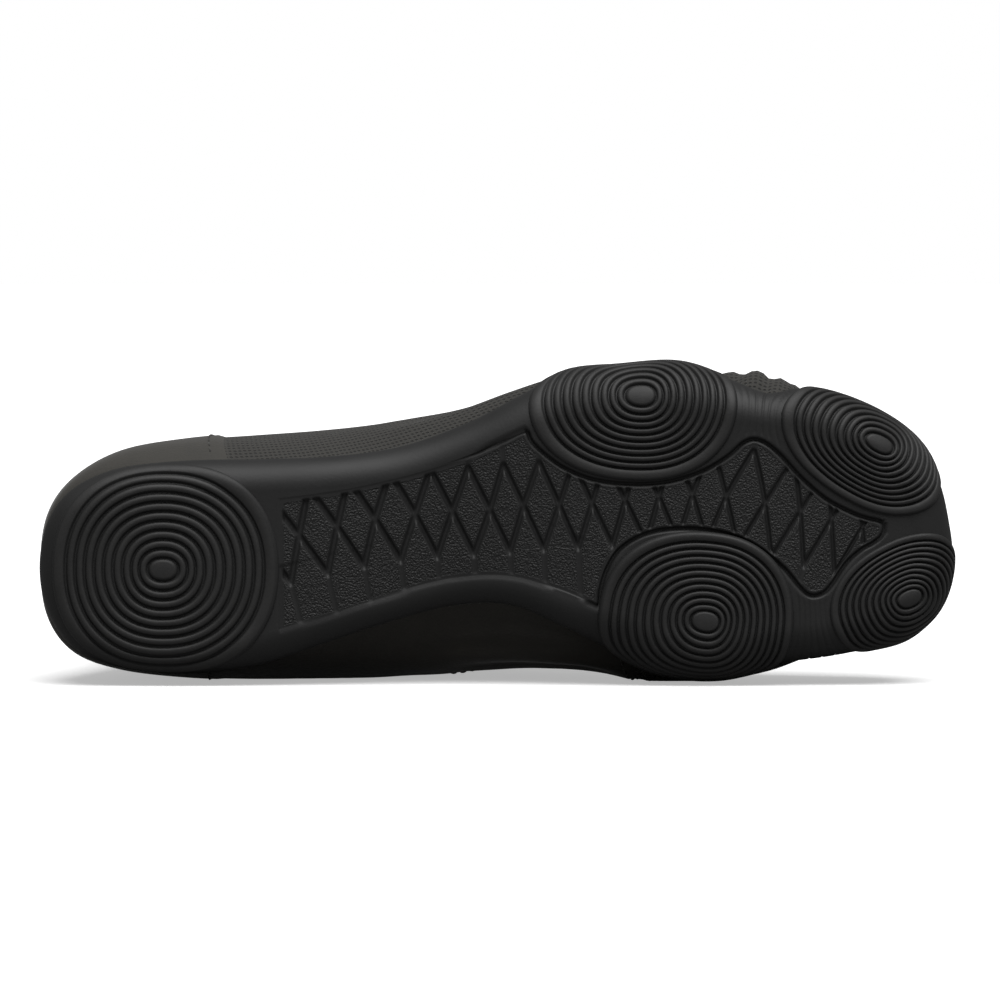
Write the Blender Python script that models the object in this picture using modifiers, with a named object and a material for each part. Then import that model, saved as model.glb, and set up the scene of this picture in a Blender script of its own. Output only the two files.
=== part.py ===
"""A right wrestling shoe that lies on its medial side, its sole upright and facing -Y.

Lengths run from the heel to the toe, widths from the heel's centre line to the lateral side, and
heights up from the plane that the tread stands on when worn. As the shoe lies here, length is
along +X, height along +Y and width along +Z.
"""

import math
from collections import namedtuple

import bmesh
import bpy
import numpy as np
from mathutils import Vector

# Driving sizes of the last and the sole.
LENGTH = 0.280
BALL_WIDTH = 0.098
BACK_HEIGHT = 0.1545
EDGE_ROUND = 0.014
RIM_HEIGHT = 0.026
TOE_SPRING = 0.009
ARCH_RISE = 0.003
HEEL_ROLL = 0.002
POD_RADIUS = 0.035
POD_RELIEF = 0.0024
RING_DEPTH = 0.0010

# Walls, clearances and small pieces.
SOLE_WALL = 0.0026
UPPER_WALL = 0.0022
INSOLE_THICKNESS = 0.0035
TONGUE_THICKNESS = 0.0030
TONGUE_RISE = 0.010
TONGUE_CROWN = 0.0024
TONGUE_CLEARANCE = 0.0014
LACE_EDGE_RISE = 0.0008
OVERLAY_THICKNESS = 0.0010
STEP_HEIGHT = 0.0008
EYELET_OUTER = 0.0038
EYELET_HOLE = 0.0021
EYELET_HEIGHT = 0.0009
LACE_WIDTH = 0.0052
LACE_THICKNESS = 0.0013
GAP = 0.0003
CUP_GAP = 0.0006
FEATHER_GAP = 0.0022
POD_ROOT = 0.0012

# Mesh steps.
STEPS_PER_ROW = 2
SOLE_COLUMNS = 4
POD_SEGMENTS = 24
PLAIN_RINGS = 4

# Outline rows from heel to toe: length and width of each edge as shares of LENGTH and BALL_WIDTH,
# the edge's rounding as a share of EDGE_ROUND and the rim's height as a share of RIM_HEIGHT.
SoleRow = namedtuple(
    "SoleRow",
    "lateral_length lateral_width medial_length medial_width "
    "lateral_round medial_round lateral_rim medial_rim",
)
SOLE_ROWS = (
    SoleRow(0.0, -1.0, 0.0, -1.0, 64, 64, 65, 65),
    SoleRow(0.9, 13.3, 0.9, -14.8, 64, 64, 65, 65),
    SoleRow(3.6, 23.5, 3.6, -25.5, 64, 64, 63, 63),
    SoleRow(8.6, 29.8, 8.6, -31.6, 64, 64, 62, 62),
    SoleRow(16.1, 32.2, 16.1, -33.7, 64, 64, 56, 56),
    SoleRow(24.3, 32.7, 23.6, -31.1, 64, 64, 48, 48),
    SoleRow(32.1, 33.7, 30.7, -24.5, 61, 61, 40, 38),
    SoleRow(39.3, 36.7, 37.5, -17.9, 61, 59, 37, 35),
    SoleRow(46.4, 43.9, 45.0, -12.4, 64, 59, 40, 35),
    SoleRow(52.1, 52.3, 51.1, -12.3, 75, 63, 56, 38),
    SoleRow(57.1, 59.2, 56.8, -18.9, 93, 71, 77, 52),
    SoleRow(62.9, 60.6, 62.1, -26.4, 100, 86, 96, 73),
    SoleRow(69.3, 61.8, 67.5, -32.9, 100, 93, 98, 88),
    SoleRow(74.3, 58.2, 73.6, -34.4, 89, 93, 69, 92),
    SoleRow(78.9, 53.3, 80.0, -30.8, 64, 86, 42, 71),
    SoleRow(82.9, 54.7, 85.7, -28.6, 79, 79, 60, 56),
    SoleRow(87.5, 51.2, 90.4, -26.1, 93, 86, 77, 67),
    SoleRow(92.4, 44.2, 93.9, -23.1, 93, 93, 81, 77),
    SoleRow(95.9, 35.7, 96.4, -17.6, 93, 93, 77, 77),
    SoleRow(97.9, 25.0, 97.9, -11.7, 86, 86, 65, 69),
    SoleRow(98.9, 12.9, 98.9, -4.3, 86, 86, 58, 62),
    SoleRow(99.3, 3.4, 99.3, 3.4, 86, 86, 58, 58),
)

# Upper rows beside the sole's rows: the belly, the middle and the top of each section, as shares of
# LENGTH, BACK_HEIGHT and BALL_WIDTH. top_half is half the opening at the collar or throat.
UpperRow = namedtuple(
    "UpperRow",
    "belly_length belly_height belly_lateral belly_medial "
    "mid_length mid_height mid_lateral mid_medial top_length top_height top_width top_half",
)
UPPER_ROWS = (
    UpperRow(0.2, 19.4, -1.0, -1.0, 5.2, 62.1, -1.5, -1.5, 4.5, 100.0, -3.5, 0.0),
    UpperRow(0.9, 19.4, 14.8, -16.8, 5.5, 62.8, 8.2, -12.2, 5.0, 99.7, -3.5, 9.7),
    UpperRow(3.6, 20.1, 26.0, -27.6, 7.1, 63.4, 17.4, -21.9, 7.5, 98.7, -3.5, 19.4),
    UpperRow(8.6, 21.4, 34.2, -33.2, 11.1, 64.1, 26.0, -30.1, 12.5, 97.7, -3.8, 28.6),
    UpperRow(15.7, 23.3, 37.8, -35.9, 17.9, 64.7, 31.1, -34.1, 20.7, 97.7, -3.6, 32.1),
    UpperRow(22.9, 24.6, 39.3, -36.7, 25.0, 64.7, 32.7, -35.2, 29.3, 99.7, -3.9, 31.9),
    UpperRow(30.0, 24.6, 40.8, -36.4, 32.9, 63.4, 32.7, -34.6, 37.5, 102.3, -4.0, 17.3),
    UpperRow(37.1, 23.3, 43.2, -35.4, 40.7, 60.8, 32.2, -32.6, 44.3, 82.2, 0.1, 14.8),
    UpperRow(44.6, 21.4, 46.9, -33.5, 47.9, 56.3, 33.2, -29.6, 50.4, 69.3, 3.6, 14.3),
    UpperRow(51.1, 19.4, 52.6, -32.0, 53.2, 51.8, 34.2, -27.0, 55.0, 61.5, 6.1, 13.8),
    UpperRow(56.4, 18.8, 57.1, -32.2, 58.2, 47.2, 37.2, -25.0, 59.3, 55.3, 8.2, 12.8),
    UpperRow(62.1, 20.7, 58.7, -32.4, 63.2, 43.4, 40.8, -24.0, 63.6, 50.2, 9.2, 10.7),
    UpperRow(68.2, 21.4, 58.2, -32.7, 68.6, 40.1, 43.4, -23.0, 67.9, 46.0, 10.2, 0.0),
    UpperRow(73.6, 20.1, 57.1, -32.2, 73.6, 37.5, 44.4, -21.9, 72.1, 42.4, 10.7, 0.0),
    UpperRow(79.3, 17.5, 56.7, -30.6, 78.6, 35.6, 44.4, -20.4, 76.6, 39.2, 10.7, 0.0),
    UpperRow(84.3, 19.4, 52.0, -26.7, 83.2, 33.7, 42.3, -18.4, 80.7, 36.6, 10.2, 0.0),
    UpperRow(88.6, 21.4, 48.0, -23.7, 87.1, 31.7, 38.8, -15.8, 84.3, 34.3, 9.2, 0.0),
    UpperRow(92.5, 22.7, 41.3, -19.9, 91.1, 29.8, 33.2, -12.8, 87.5, 32.5, 8.2, 0.0),
    UpperRow(95.4, 22.7, 33.2, -14.8, 93.6, 28.2, 26.5, -9.2, 89.6, 31.2, 7.3, 0.0),
    UpperRow(97.3, 22.0, 23.5, -8.7, 95.2, 27.2, 18.4, -5.1, 91.1, 30.3, 6.7, 0.0),
    UpperRow(98.3, 21.4, 12.8, -2.6, 96.1, 26.5, 10.2, 0.0, 91.8, 29.8, 6.3, 0.0),
    UpperRow(98.8, 21.0, 3.3, 3.3, 96.4, 26.2, 3.9, 3.9, 92.1, 29.6, 6.1, 0.0),
)
LAST_ROW = len(SOLE_ROWS) - 1
LATERAL, MEDIAL = 1, -1

# Tread pods on the flattened underside: centre as shares of LENGTH and BALL_WIDTH, turn in degrees,
# and the reach forward, back, to the lateral and to the medial side as shares of POD_RADIUS.
PodRow = namedtuple("PodRow", "name length width turn forward back lateral medial")
POD_ROWS = (
    PodRow("lateral_ball", 65.3, 52.1, 0, 83, 99, 79, 72),
    PodRow("medial_ball", 72.3, -17.0, -8, 75, 94, 77, 79),
    PodRow("lateral_toe", 91.0, 36.9, -28, 71, 91, 69, 54),
    PodRow("medial_toe", 94.2, -9.6, 26, 66, 71, 50, 63),
    PodRow("heel", 13.6, -1.0, 0, 100, 97, 95, 95),
)

# Levels on a section of the upper: below 0 it lies in the sole's cup, 0 is the sole's rim, 1 the
# belly, 2 the middle and 3 the top.
UPPER_LEVELS = (-1.0, -0.62, -0.3, 0.0, 0.5, 1.0, 1.5, 2.0, 2.35, 2.68, 3.0)
COLLAR_ROW = 6
THROAT_END_ROW = 12
EYELET_ROWS = (6.6, 7.5, 8.45, 9.35, 10.2, 11.0)
EYELET_LEVEL = 2.72

Station = namedtuple("Station", "length width out_length out_width round rim")


def closed_loop(lateral, medial):
    """Rows of the lateral side from heel to toe, then those of the medial side back to the heel."""
    return np.array(list(lateral) + list(medial)[-2:0:-1], float)


def along_loop(values, place):
    """The value at a fractional place on a closed loop, on a smooth curve through its rows."""
    start = math.floor(place)
    t = place - start
    a, b, c, d = (values[(start + k) % len(values)] for k in (-1, 0, 1, 2))
    square = 2 * a - 5 * b + 4 * c - d
    cube = 3 * b - a - 3 * c + d
    return 0.5 * (2 * b + (c - a) * t + square * t**2 + cube * t**3)


def loop_place(row, side):
    """Where a fractional row of one side lies on the loop."""
    return row if side == LATERAL else 2 * LAST_ROW - row


SOLE_LOOP = closed_loop(
    [(r.lateral_length, r.lateral_width, r.lateral_round, r.lateral_rim) for r in SOLE_ROWS],
    [(r.medial_length, r.medial_width, r.medial_round, r.medial_rim) for r in SOLE_ROWS],
) * (LENGTH / 100, BALL_WIDTH / 100, EDGE_ROUND / 100, RIM_HEIGHT / 100)
UPPER_SIZES = (LENGTH / 100, BACK_HEIGHT / 100, BALL_WIDTH / 100)
BELLY_LOOP = closed_loop(
    [(r.belly_length, r.belly_height, r.belly_lateral) for r in UPPER_ROWS],
    [(r.belly_length, r.belly_height, r.belly_medial) for r in UPPER_ROWS],
) * UPPER_SIZES
MID_LOOP = closed_loop(
    [(r.mid_length, r.mid_height, r.mid_lateral) for r in UPPER_ROWS],
    [(r.mid_length, r.mid_height, r.mid_medial) for r in UPPER_ROWS],
) * UPPER_SIZES
TOP_LINE = [(r.top_length, r.top_height, r.top_width, r.top_half) for r in UPPER_ROWS]
TOP_LOOP = closed_loop(TOP_LINE, TOP_LINE) * (*UPPER_SIZES, BALL_WIDTH / 100)


def station(row, side):
    """The sole's outline at a row: its point, its outward direction, rounding and rim height."""
    place = loop_place(row, side)
    length, width, rounding, rim = along_loop(SOLE_LOOP, place)
    step = 0.02
    run = along_loop(SOLE_LOOP, place + step) - along_loop(SOLE_LOOP, place - step)
    size = math.hypot(run[0], run[1])
    return Station(length, width, -run[1] / size, run[0] / size, rounding, max(rim, rounding))


def underside(length, width):
    """Height of the tread's field, with toe spring, arch and the heel's roll."""
    share = length / LENGTH
    height = POD_RELIEF
    height += TOE_SPRING * max(0.0, (share - 0.79) / 0.21) ** 2
    height += HEEL_ROLL * max(0.0, (0.08 - share) / 0.08) ** 2
    if 0.27 < share < 0.60:
        hollow = math.sin(math.pi * (share - 0.27) / 0.33) ** 2
        height += ARCH_RISE * hollow * (1.0 - 0.5 * width / BALL_WIDTH)
    return height


def rim_reach(at):
    """Length along the sole's profile from where its underside starts to round up to its rim."""
    return at.round * math.pi / 2 + at.rim - at.round


def edge_point(at, reach, lift):
    """A point on the sole's side, lifted out of its surface, as (length, width, height)."""
    quarter = at.round * math.pi / 2
    if reach < quarter:
        angle = max(reach, 0.0) / at.round
        out = at.round * math.sin(angle) - at.round + min(reach, 0.0)
        height = at.round - at.round * math.cos(angle)
    else:
        angle = math.pi / 2
        out = 0.0
        height = at.round + reach - quarter
    out += lift * math.sin(angle)
    height -= lift * math.cos(angle)
    base = underside(at.length - at.out_length * at.round, at.width - at.out_width * at.round)
    return (at.length + at.out_length * out, at.width + at.out_width * out, base + height)


OUTLINE_STEPS = 20
OUTLINE = [
    station(step / OUTLINE_STEPS, LATERAL) for step in range(2 * LAST_ROW * OUTLINE_STEPS)
]
OUTLINE_POINTS = np.array([(at.length, at.width) for at in OUTLINE])


def tread_point(length, width, lift):
    """A point of the flattened tread, wrapped round the sole's edge and lifted out of it."""
    nearest = int(np.argmin(((OUTLINE_POINTS - (length, width)) ** 2).sum(axis=1)))
    at = OUTLINE[nearest]
    along = (length - at.length) * at.out_width - (width - at.width) * at.out_length
    beside = OUTLINE[(nearest + (1 if along > 0 else -1)) % len(OUTLINE)]
    spacing = math.hypot(beside.length - at.length, beside.width - at.width)
    share = min(abs(along) / spacing, 1.0)
    at = Station(*(a + (b - a) * share for a, b in zip(at, beside)))
    reach = (length - at.length) * at.out_length + (width - at.width) * at.out_width + at.round
    if reach > 0:
        return edge_point(at, reach, lift)
    return (length, width, underside(length, width) - lift)


def section(row, side):
    """The upper's section above the sole's rim: its knots and the directions through them."""
    at = station(row, side)
    low = np.array(edge_point(at, rim_reach(at), -(SOLE_WALL + CUP_GAP)))
    place = loop_place(row, side)
    belly, middle, top = (along_loop(loop, place) for loop in (BELLY_LOOP, MID_LOOP, TOP_LOOP))
    opposite = along_loop(MID_LOOP, loop_place(row, -side))
    half = max(top[3], 0.0) if row < THROAT_END_ROW else 0.0
    belly, middle, opposite = (p[[0, 2, 1]] for p in (belly, middle, opposite))
    top = np.array((top[0], top[2] + side * half, top[1]))
    openness = min(half / (0.1 * BALL_WIDTH), 1.0)
    over = (opposite - middle) * 0.5 * (1 - openness) + (top - middle) * openness
    rise = np.array((0.0, 0.0, 0.7 * np.linalg.norm(belly - low)))
    return (low, belly, middle, top), (rise, (middle - low) / 2, (top - belly) / 2, over)


def upper_point(row, side, level):
    """A point on the upper's outer face, as (length, width, height)."""
    if level < 0:
        at = station(row, side)
        reach = FEATHER_GAP + (rim_reach(at) - FEATHER_GAP) * (1 + level)
        return np.array(edge_point(at, reach, -(SOLE_WALL + CUP_GAP)))
    knots, runs = section(row, side)
    start = min(int(level), 2)
    t = level - start
    return (
        knots[start] * (2 * t**3 - 3 * t**2 + 1)
        + runs[start] * (t**3 - 2 * t**2 + t)
        + knots[start + 1] * (3 * t**2 - 2 * t**3)
        + runs[start + 1] * (t**3 - t**2)
    )


def upper_normal(row, side, level):
    """The direction out of the upper at a point, the same from both sides on the closed ridge."""
    normal = side_normal(row, side, level)
    if level == 3.0 and row >= THROAT_END_ROW:
        normal = normal + side_normal(row, -side, level)
    return normal / np.linalg.norm(normal)


def side_normal(row, side, level):
    """The direction out of one side of the upper."""
    step = 0.02
    low_level, high_level = max(level - step, -1.0), min(level + step, 3.0)
    low_row, high_row = max(row - step, 0.0), min(row + step, float(LAST_ROW))
    up = upper_point(row, side, high_level) - upper_point(row, side, low_level)
    forward = upper_point(high_row, side, level) - upper_point(low_row, side, level)
    normal = np.cross(up, forward) * side
    return normal / np.linalg.norm(normal)


def lying(point):
    """A (length, width, height) point as the shoe lies, before it is centred."""
    return Vector((point[0], point[2], point[1]))


def loft(name, sections, closed=False, ring=False):
    """An object whose surface runs through sections of equally many points, ends merged."""
    mesh = bmesh.new()
    lines = [[mesh.verts.new(lying(point)) for point in points] for points in sections]
    pairs = list(zip(lines, lines[1:])) + ([(lines[-1], lines[0])] if ring else [])
    for first, second in pairs:
        last = len(first) if closed else len(first) - 1
        for k in range(last):
            after = (k + 1) % len(first)
            mesh.faces.new((first[k], first[after], second[after]))
            mesh.faces.new((first[k], second[after], second[k]))
    bmesh.ops.remove_doubles(mesh, verts=mesh.verts, dist=1e-6)
    bmesh.ops.recalc_face_normals(mesh, faces=mesh.faces)
    data = bpy.data.meshes.new(name)
    mesh.to_mesh(data)
    mesh.free()
    return bpy.data.objects.new(name, data)


def face_out(obj, inner_point):
    """Turns an open sheet's faces away from a point that lies inside it."""
    inner = lying(inner_point)
    votes = sum((face.center - inner).dot(face.normal) * face.area for face in obj.data.polygons)
    if votes < 0:
        obj.data.flip_normals()


def thicken(obj, thickness, outward=False):
    """Gives a sheet its wall, inside or outside its drawn face."""
    wall = obj.modifiers.new("wall", "SOLIDIFY")
    wall.thickness = thickness
    wall.offset = 1.0 if outward else -1.0
    wall.use_even_offset = True
    wall.use_rim = True


def boolean(obj, other, operation):
    """Joins or cuts an object with a hidden helper."""
    HELPERS.objects.link(other)
    other.parent = FRAME
    other.hide_render = True
    other.display_type = "WIRE"
    modifier = obj.modifiers.new(other.name, "BOOLEAN")
    modifier.operation = operation
    modifier.object = other
    modifier.solver = "EXACT"


def material(name, colour, roughness):
    """A plain finish of one colour."""
    made = bpy.data.materials.new(name)
    made.use_nodes = True
    shader = made.node_tree.nodes["Principled BSDF"]
    shader.inputs["Base Color"].default_value = (*colour, 1.0)
    shader.inputs["Roughness"].default_value = roughness
    shader.inputs["Metallic"].default_value = 0.0
    return made


def add_piece(obj, finish):
    """Puts a finished piece in the shoe, under its frame, with its material."""
    obj.data.materials.append(finish)
    SHOE.objects.link(obj)
    obj.parent = FRAME
    return obj


def row_range(first, last):
    """Rows from first to last at the mesh's own steps."""
    return [first + k / STEPS_PER_ROW for k in range(round((last - first) * STEPS_PER_ROW) + 1)]


def floor_line(row, lift, inset=0.0):
    """Points across the sole's underside between its two rounded edges."""
    ends = [np.array(edge_point(station(row, side), -inset, 0.0)) for side in (LATERAL, MEDIAL)]
    points = []
    for column in range(SOLE_COLUMNS + 1):
        length, width, _ = ends[0] + (ends[1] - ends[0]) * column / SOLE_COLUMNS
        points.append((length, width, underside(length, width) - lift))
    return points


def sole_section(row):
    """One section of the sole's outer face, from its lateral rim round to its medial rim."""
    sides = []
    for side in (LATERAL, MEDIAL):
        at = station(row, side)
        quarter = at.round * math.pi / 2
        reaches = [quarter / 3, quarter * 2 / 3, quarter, rim_reach(at)]
        sides.append([edge_point(at, reach, 0.0) for reach in reaches])
    return sides[0][::-1] + floor_line(row, 0.0) + sides[1]


def pod_ring(pod, share, lift):
    """A closed ring of a tread pod at a share of its reach."""
    turn = math.radians(pod.turn)
    points = []
    for k in range(POD_SEGMENTS):
        angle = 2 * math.pi * k / POD_SEGMENTS
        ahead, aside = math.cos(angle), math.sin(angle)
        reach_ahead = (pod.forward if ahead > 0 else pod.back) * POD_RADIUS / 100
        reach_aside = (pod.lateral if aside > 0 else pod.medial) * POD_RADIUS / 100
        reach = share / math.hypot(ahead / reach_ahead, aside / reach_aside)
        length = pod.length * LENGTH / 100 + reach * math.cos(angle + turn)
        width = pod.width * BALL_WIDTH / 100 + reach * math.sin(angle + turn)
        points.append(tread_point(length, width, lift))
    return points


def tread_pod(pod):
    """A raised round pod with a rounded rim and ring grooves, rooted in the sole's wall."""
    rings = [pod_ring(pod, share, -POD_ROOT) for share in (0.0, 0.35, 0.7, 1.0)]
    rings.append(pod_ring(pod, 1.0, POD_RELIEF * 0.5))
    rings.append(pod_ring(pod, 0.97, POD_RELIEF * 0.92))
    flat_share, button_share = 0.86, 0.16
    rings.append(pod_ring(pod, 0.93, POD_RELIEF))
    rings.append(pod_ring(pod, flat_share, POD_RELIEF))
    pitch = (flat_share - button_share) / PLAIN_RINGS
    for k in range(PLAIN_RINGS):
        rings.append(pod_ring(pod, flat_share - (k + 0.5) * pitch, POD_RELIEF - RING_DEPTH))
        rings.append(pod_ring(pod, flat_share - (k + 1) * pitch, POD_RELIEF))
    rings.append(pod_ring(pod, 0.0, POD_RELIEF))
    return loft("pod_" + pod.name, rings, closed=True)


def make_outsole():
    """The rubber cup sole with its pods."""
    obj = loft("outsole", [sole_section(row) for row in row_range(0, LAST_ROW)])
    face_out(obj, (LENGTH / 2, 0.1 * BALL_WIDTH, RIM_HEIGHT))
    thicken(obj, SOLE_WALL)
    for pod in POD_ROWS:
        boolean(obj, tread_pod(pod), "UNION")
    return add_piece(obj, RUBBER)


def step_lift(row, level):
    """How far a counter or a toe cap stands out of the upper's wall."""
    counter = row <= 4.5 and 0.5 <= level <= 1.5
    toe_cap = row >= 17.5 and 0.5 <= level <= 2.0
    return STEP_HEIGHT if counter or toe_cap else 0.0


def lifted(row, side, level, lift):
    """A point of the upper's outer face, moved along its normal."""
    return upper_point(row, side, level) + upper_normal(row, side, level) * lift


def upper_section(row):
    """One section of the upper's outer face for each side, from the sole to the top."""
    return {
        side: [lifted(row, side, level, step_lift(row, level)) for level in UPPER_LEVELS]
        for side in (LATERAL, MEDIAL)
    }


def join_sheets(name, sheets):
    """One object from sheets that share an edge."""
    mesh = bmesh.new()
    for sheet in sheets:
        mesh.from_mesh(sheet.data)
        bpy.data.objects.remove(sheet)
    bmesh.ops.remove_doubles(mesh, verts=mesh.verts, dist=1e-6)
    bmesh.ops.recalc_face_normals(mesh, faces=mesh.faces)
    data = bpy.data.meshes.new(name)
    mesh.to_mesh(data)
    mesh.free()
    return bpy.data.objects.new(name, data)


def lace_holes():
    """Cutters for the lace holes, as one mesh of rods."""
    mesh = bmesh.new()
    for row in EYELET_ROWS:
        for side in (LATERAL, MEDIAL):
            centre = lying(upper_point(row, side, EYELET_LEVEL))
            normal = lying(upper_normal(row, side, EYELET_LEVEL))
            turn = normal.to_track_quat("Z", "Y").to_matrix().to_4x4()
            turn.translation = centre
            bmesh.ops.create_cone(
                mesh, cap_ends=True, segments=6, radius1=EYELET_HOLE, radius2=EYELET_HOLE,
                depth=6 * UPPER_WALL, matrix=turn,
            )
    data = bpy.data.meshes.new("lace_holes")
    mesh.to_mesh(data)
    mesh.free()
    return data


def make_upper():
    """The hollow upper, open at the collar, the throat and underneath."""
    sections = [upper_section(row) for row in row_range(0, LAST_ROW)]
    sheets = [loft("half", [part[side] for part in sections]) for side in (LATERAL, MEDIAL)]
    obj = join_sheets("upper", sheets)
    face_out(obj, (LENGTH / 2, 0.1 * BALL_WIDTH, 0.25 * BACK_HEIGHT))
    thicken(obj, UPPER_WALL)
    boolean(obj, bpy.data.objects.new("upper_lace_holes", lace_holes()), "DIFFERENCE")
    return add_piece(obj, MESH_CLOTH)


def make_insole():
    """The footbed on the sole's floor, inside the upper's lower edge."""
    lift = -(SOLE_WALL + CUP_GAP)
    sections = [floor_line(row, lift, CUP_GAP) for row in range(LAST_ROW + 1)]
    obj = loft("insole", sections)
    face_out(obj, (LENGTH / 2, 0.1 * BALL_WIDTH, -LENGTH))
    thicken(obj, INSOLE_THICKNESS, outward=True)
    return add_piece(obj, FOAM)


def tongue_section(row):
    """A section of the tongue's outer face, tucked under both throat edges and crowned between."""
    drop = -(UPPER_WALL + TONGUE_CLEARANCE)
    tuck_levels = (2.35, 2.68, 3.0)
    lateral = [lifted(row, LATERAL, level, drop) for level in tuck_levels]
    medial = [lifted(row, MEDIAL, level, drop) for level in tuck_levels]
    span = np.linalg.norm(lateral[-1] - medial[-1])
    normal = upper_normal(row, LATERAL, 3.0) + upper_normal(row, MEDIAL, 3.0)
    crown = normal / np.linalg.norm(normal) * TONGUE_CROWN * min(span / (0.2 * BALL_WIDTH), 1.0)
    middle = (lateral[-1] + medial[-1]) / 2 + crown
    quarters = [(edge + middle) / 2 + crown * 0.22 for edge in (lateral[-1], medial[-1])]
    return lateral + [quarters[0], middle, quarters[1]] + medial[::-1]


def make_tongue():
    """The padded tongue, from under the vamp to a little above the collar."""
    sections = [tongue_section(row) for row in row_range(COLLAR_ROW, THROAT_END_ROW + 1)]
    top, below = sections[0], sections[1]
    middle = len(top) // 2
    climb = top[middle] - below[middle]
    climb *= TONGUE_RISE / np.linalg.norm(climb)
    for rise, narrow in ((0.5, 0.12), (1.0, 0.24)):
        sections.insert(0, [point + (top[middle] - point) * narrow + climb * rise for point in top])
    obj = loft("tongue", sections)
    face_out(obj, (LENGTH / 3, 0.0, 0.3 * BACK_HEIGHT))
    thicken(obj, TONGUE_THICKNESS)
    return add_piece(obj, PAD_CLOTH)


def make_eyestay():
    """The U-shaped overlay round the throat, on the upper's own surface."""
    sheets = []
    for side in (LATERAL, MEDIAL):
        sections = [
            [lifted(row, side, level, GAP) for level in UPPER_LEVELS if level >= 2.35]
            for row in row_range(COLLAR_ROW, THROAT_END_ROW + 1)
        ]
        sheets.append(loft("strip", sections))
    obj = join_sheets("eyestay", sheets)
    face_out(obj, (LENGTH / 3, 0.0, 0.3 * BACK_HEIGHT))
    thicken(obj, OVERLAY_THICKNESS, outward=True)
    boolean(obj, bpy.data.objects.new("eyestay_lace_holes", lace_holes()), "DIFFERENCE")
    return add_piece(obj, SYNTHETIC)


def make_eyelet(name, row, side):
    """One lace ring on the eyestay."""
    centre = upper_point(row, side, EYELET_LEVEL)
    normal = upper_normal(row, side, EYELET_LEVEL)
    forward = upper_point(row + 0.1, side, EYELET_LEVEL) - centre
    forward -= normal * forward.dot(normal)
    forward /= np.linalg.norm(forward)
    aside = np.cross(normal, forward)
    low = 3 * GAP + OVERLAY_THICKNESS
    rings = []
    segments = 8
    for radius, height in (
        (EYELET_HOLE, low),
        (EYELET_OUTER, low),
        (EYELET_OUTER, low + EYELET_HEIGHT),
        (EYELET_HOLE, low + EYELET_HEIGHT),
    ):
        ring = []
        for k in range(segments):
            angle = 2 * math.pi * k / segments
            spoke = forward * math.cos(angle) + aside * math.sin(angle)
            ring.append(centre + spoke * radius + normal * height)
        rings.append(ring)
    return add_piece(loft(name, rings, closed=True, ring=True), METAL)


def lace_strand(first_side, over):
    """Centres and normals of one strand that crosses the throat between the eyelet rows."""
    clear = 5 * GAP + OVERLAY_THICKNESS + EYELET_HEIGHT + LACE_THICKNESS / 2
    side = first_side
    rows = EYELET_ROWS[::-1]
    places = []
    for here, following in zip(rows, rows[1:]):
        climb = following - here
        places.append((here, side, EYELET_LEVEL))
        places.append((here + climb * 0.3, side, 3.0))
        places.append((here + climb * 0.7, -side, 3.0))
        side = -side
    places.append((rows[-1], side, EYELET_LEVEL))
    points = []
    for place in places:
        rise = LACE_EDGE_RISE if place[2] == 3.0 else 0.0
        points.append((lifted(*place, clear + rise), upper_normal(*place)))
    path = []
    for index, (centre, normal) in enumerate(points):
        path.append((centre, normal))
        if index % 3 == 1:
            far_centre, far_normal = points[index + 1]
            up = normal + far_normal
            up /= np.linalg.norm(up)
            path.append(((centre + far_centre) / 2 + up * (GAP + over), up))
    return path


def ribbon(name, path):
    """A flat ribbon along centres and normals, closed at both ends."""
    centres = [centre for centre, _ in path]
    sections = []
    for index, (centre, normal) in enumerate(path):
        before, after = centres[max(index - 1, 0)], centres[min(index + 1, len(path) - 1)]
        aside = np.cross(normal, after - before)
        aside *= LACE_WIDTH / 2 / np.linalg.norm(aside)
        up = normal * LACE_THICKNESS / 2
        corners = (aside + up, up - aside, -aside - up, aside - up)
        sections.append([centre + corner for corner in corners])
    caps = [[centre] * 4 for centre in (centres[0], centres[-1])]
    return loft(name, [caps[0], *sections, caps[1]], closed=True)


def make_lace():
    """The flat lace, its two strands joined where they cross. Its ends stop at the top eyelets."""
    obj = ribbon("lace", lace_strand(LATERAL, 0.0))
    boolean(obj, ribbon("second_strand", lace_strand(MEDIAL, LACE_THICKNESS * 0.35)), "UNION")
    return add_piece(obj, WEBBING)


def centre_shoe():
    """Moves the frame so that the shoe lies on the ground, centred over the origin."""
    graph = bpy.context.evaluated_depsgraph_get()
    corners = [
        Vector(corner)
        for obj in SHOE.objects
        if obj.type == "MESH"
        for corner in obj.evaluated_get(graph).bound_box
    ]
    low = [min(corner[axis] for corner in corners) for axis in range(3)]
    high = [max(corner[axis] for corner in corners) for axis in range(3)]
    FRAME.location = (-(low[0] + high[0]) / 2, -(low[1] + high[1]) / 2, -low[2])


for old in list(bpy.data.objects):
    bpy.data.objects.remove(old)
SHOE = bpy.data.collections.new("wrestling_shoe")
HELPERS = bpy.data.collections.new("helpers")
bpy.context.scene.collection.children.link(SHOE)
bpy.context.scene.collection.children.link(HELPERS)
FRAME = bpy.data.objects.new("shoe_frame", None)
SHOE.objects.link(FRAME)

RUBBER = material("moulded_rubber", (0.020, 0.020, 0.020), 0.62)
MESH_CLOTH = material("mesh_cloth", (0.016, 0.015, 0.014), 0.85)
FOAM = material("foam_footbed", (0.030, 0.030, 0.030), 0.9)
PAD_CLOTH = material("padded_cloth", (0.018, 0.018, 0.018), 0.85)
SYNTHETIC = material("synthetic_suede", (0.014, 0.014, 0.014), 0.75)
METAL = material("painted_brass", (0.025, 0.025, 0.025), 0.4)
WEBBING = material("lace_webbing", (0.030, 0.030, 0.030), 0.8)

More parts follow.
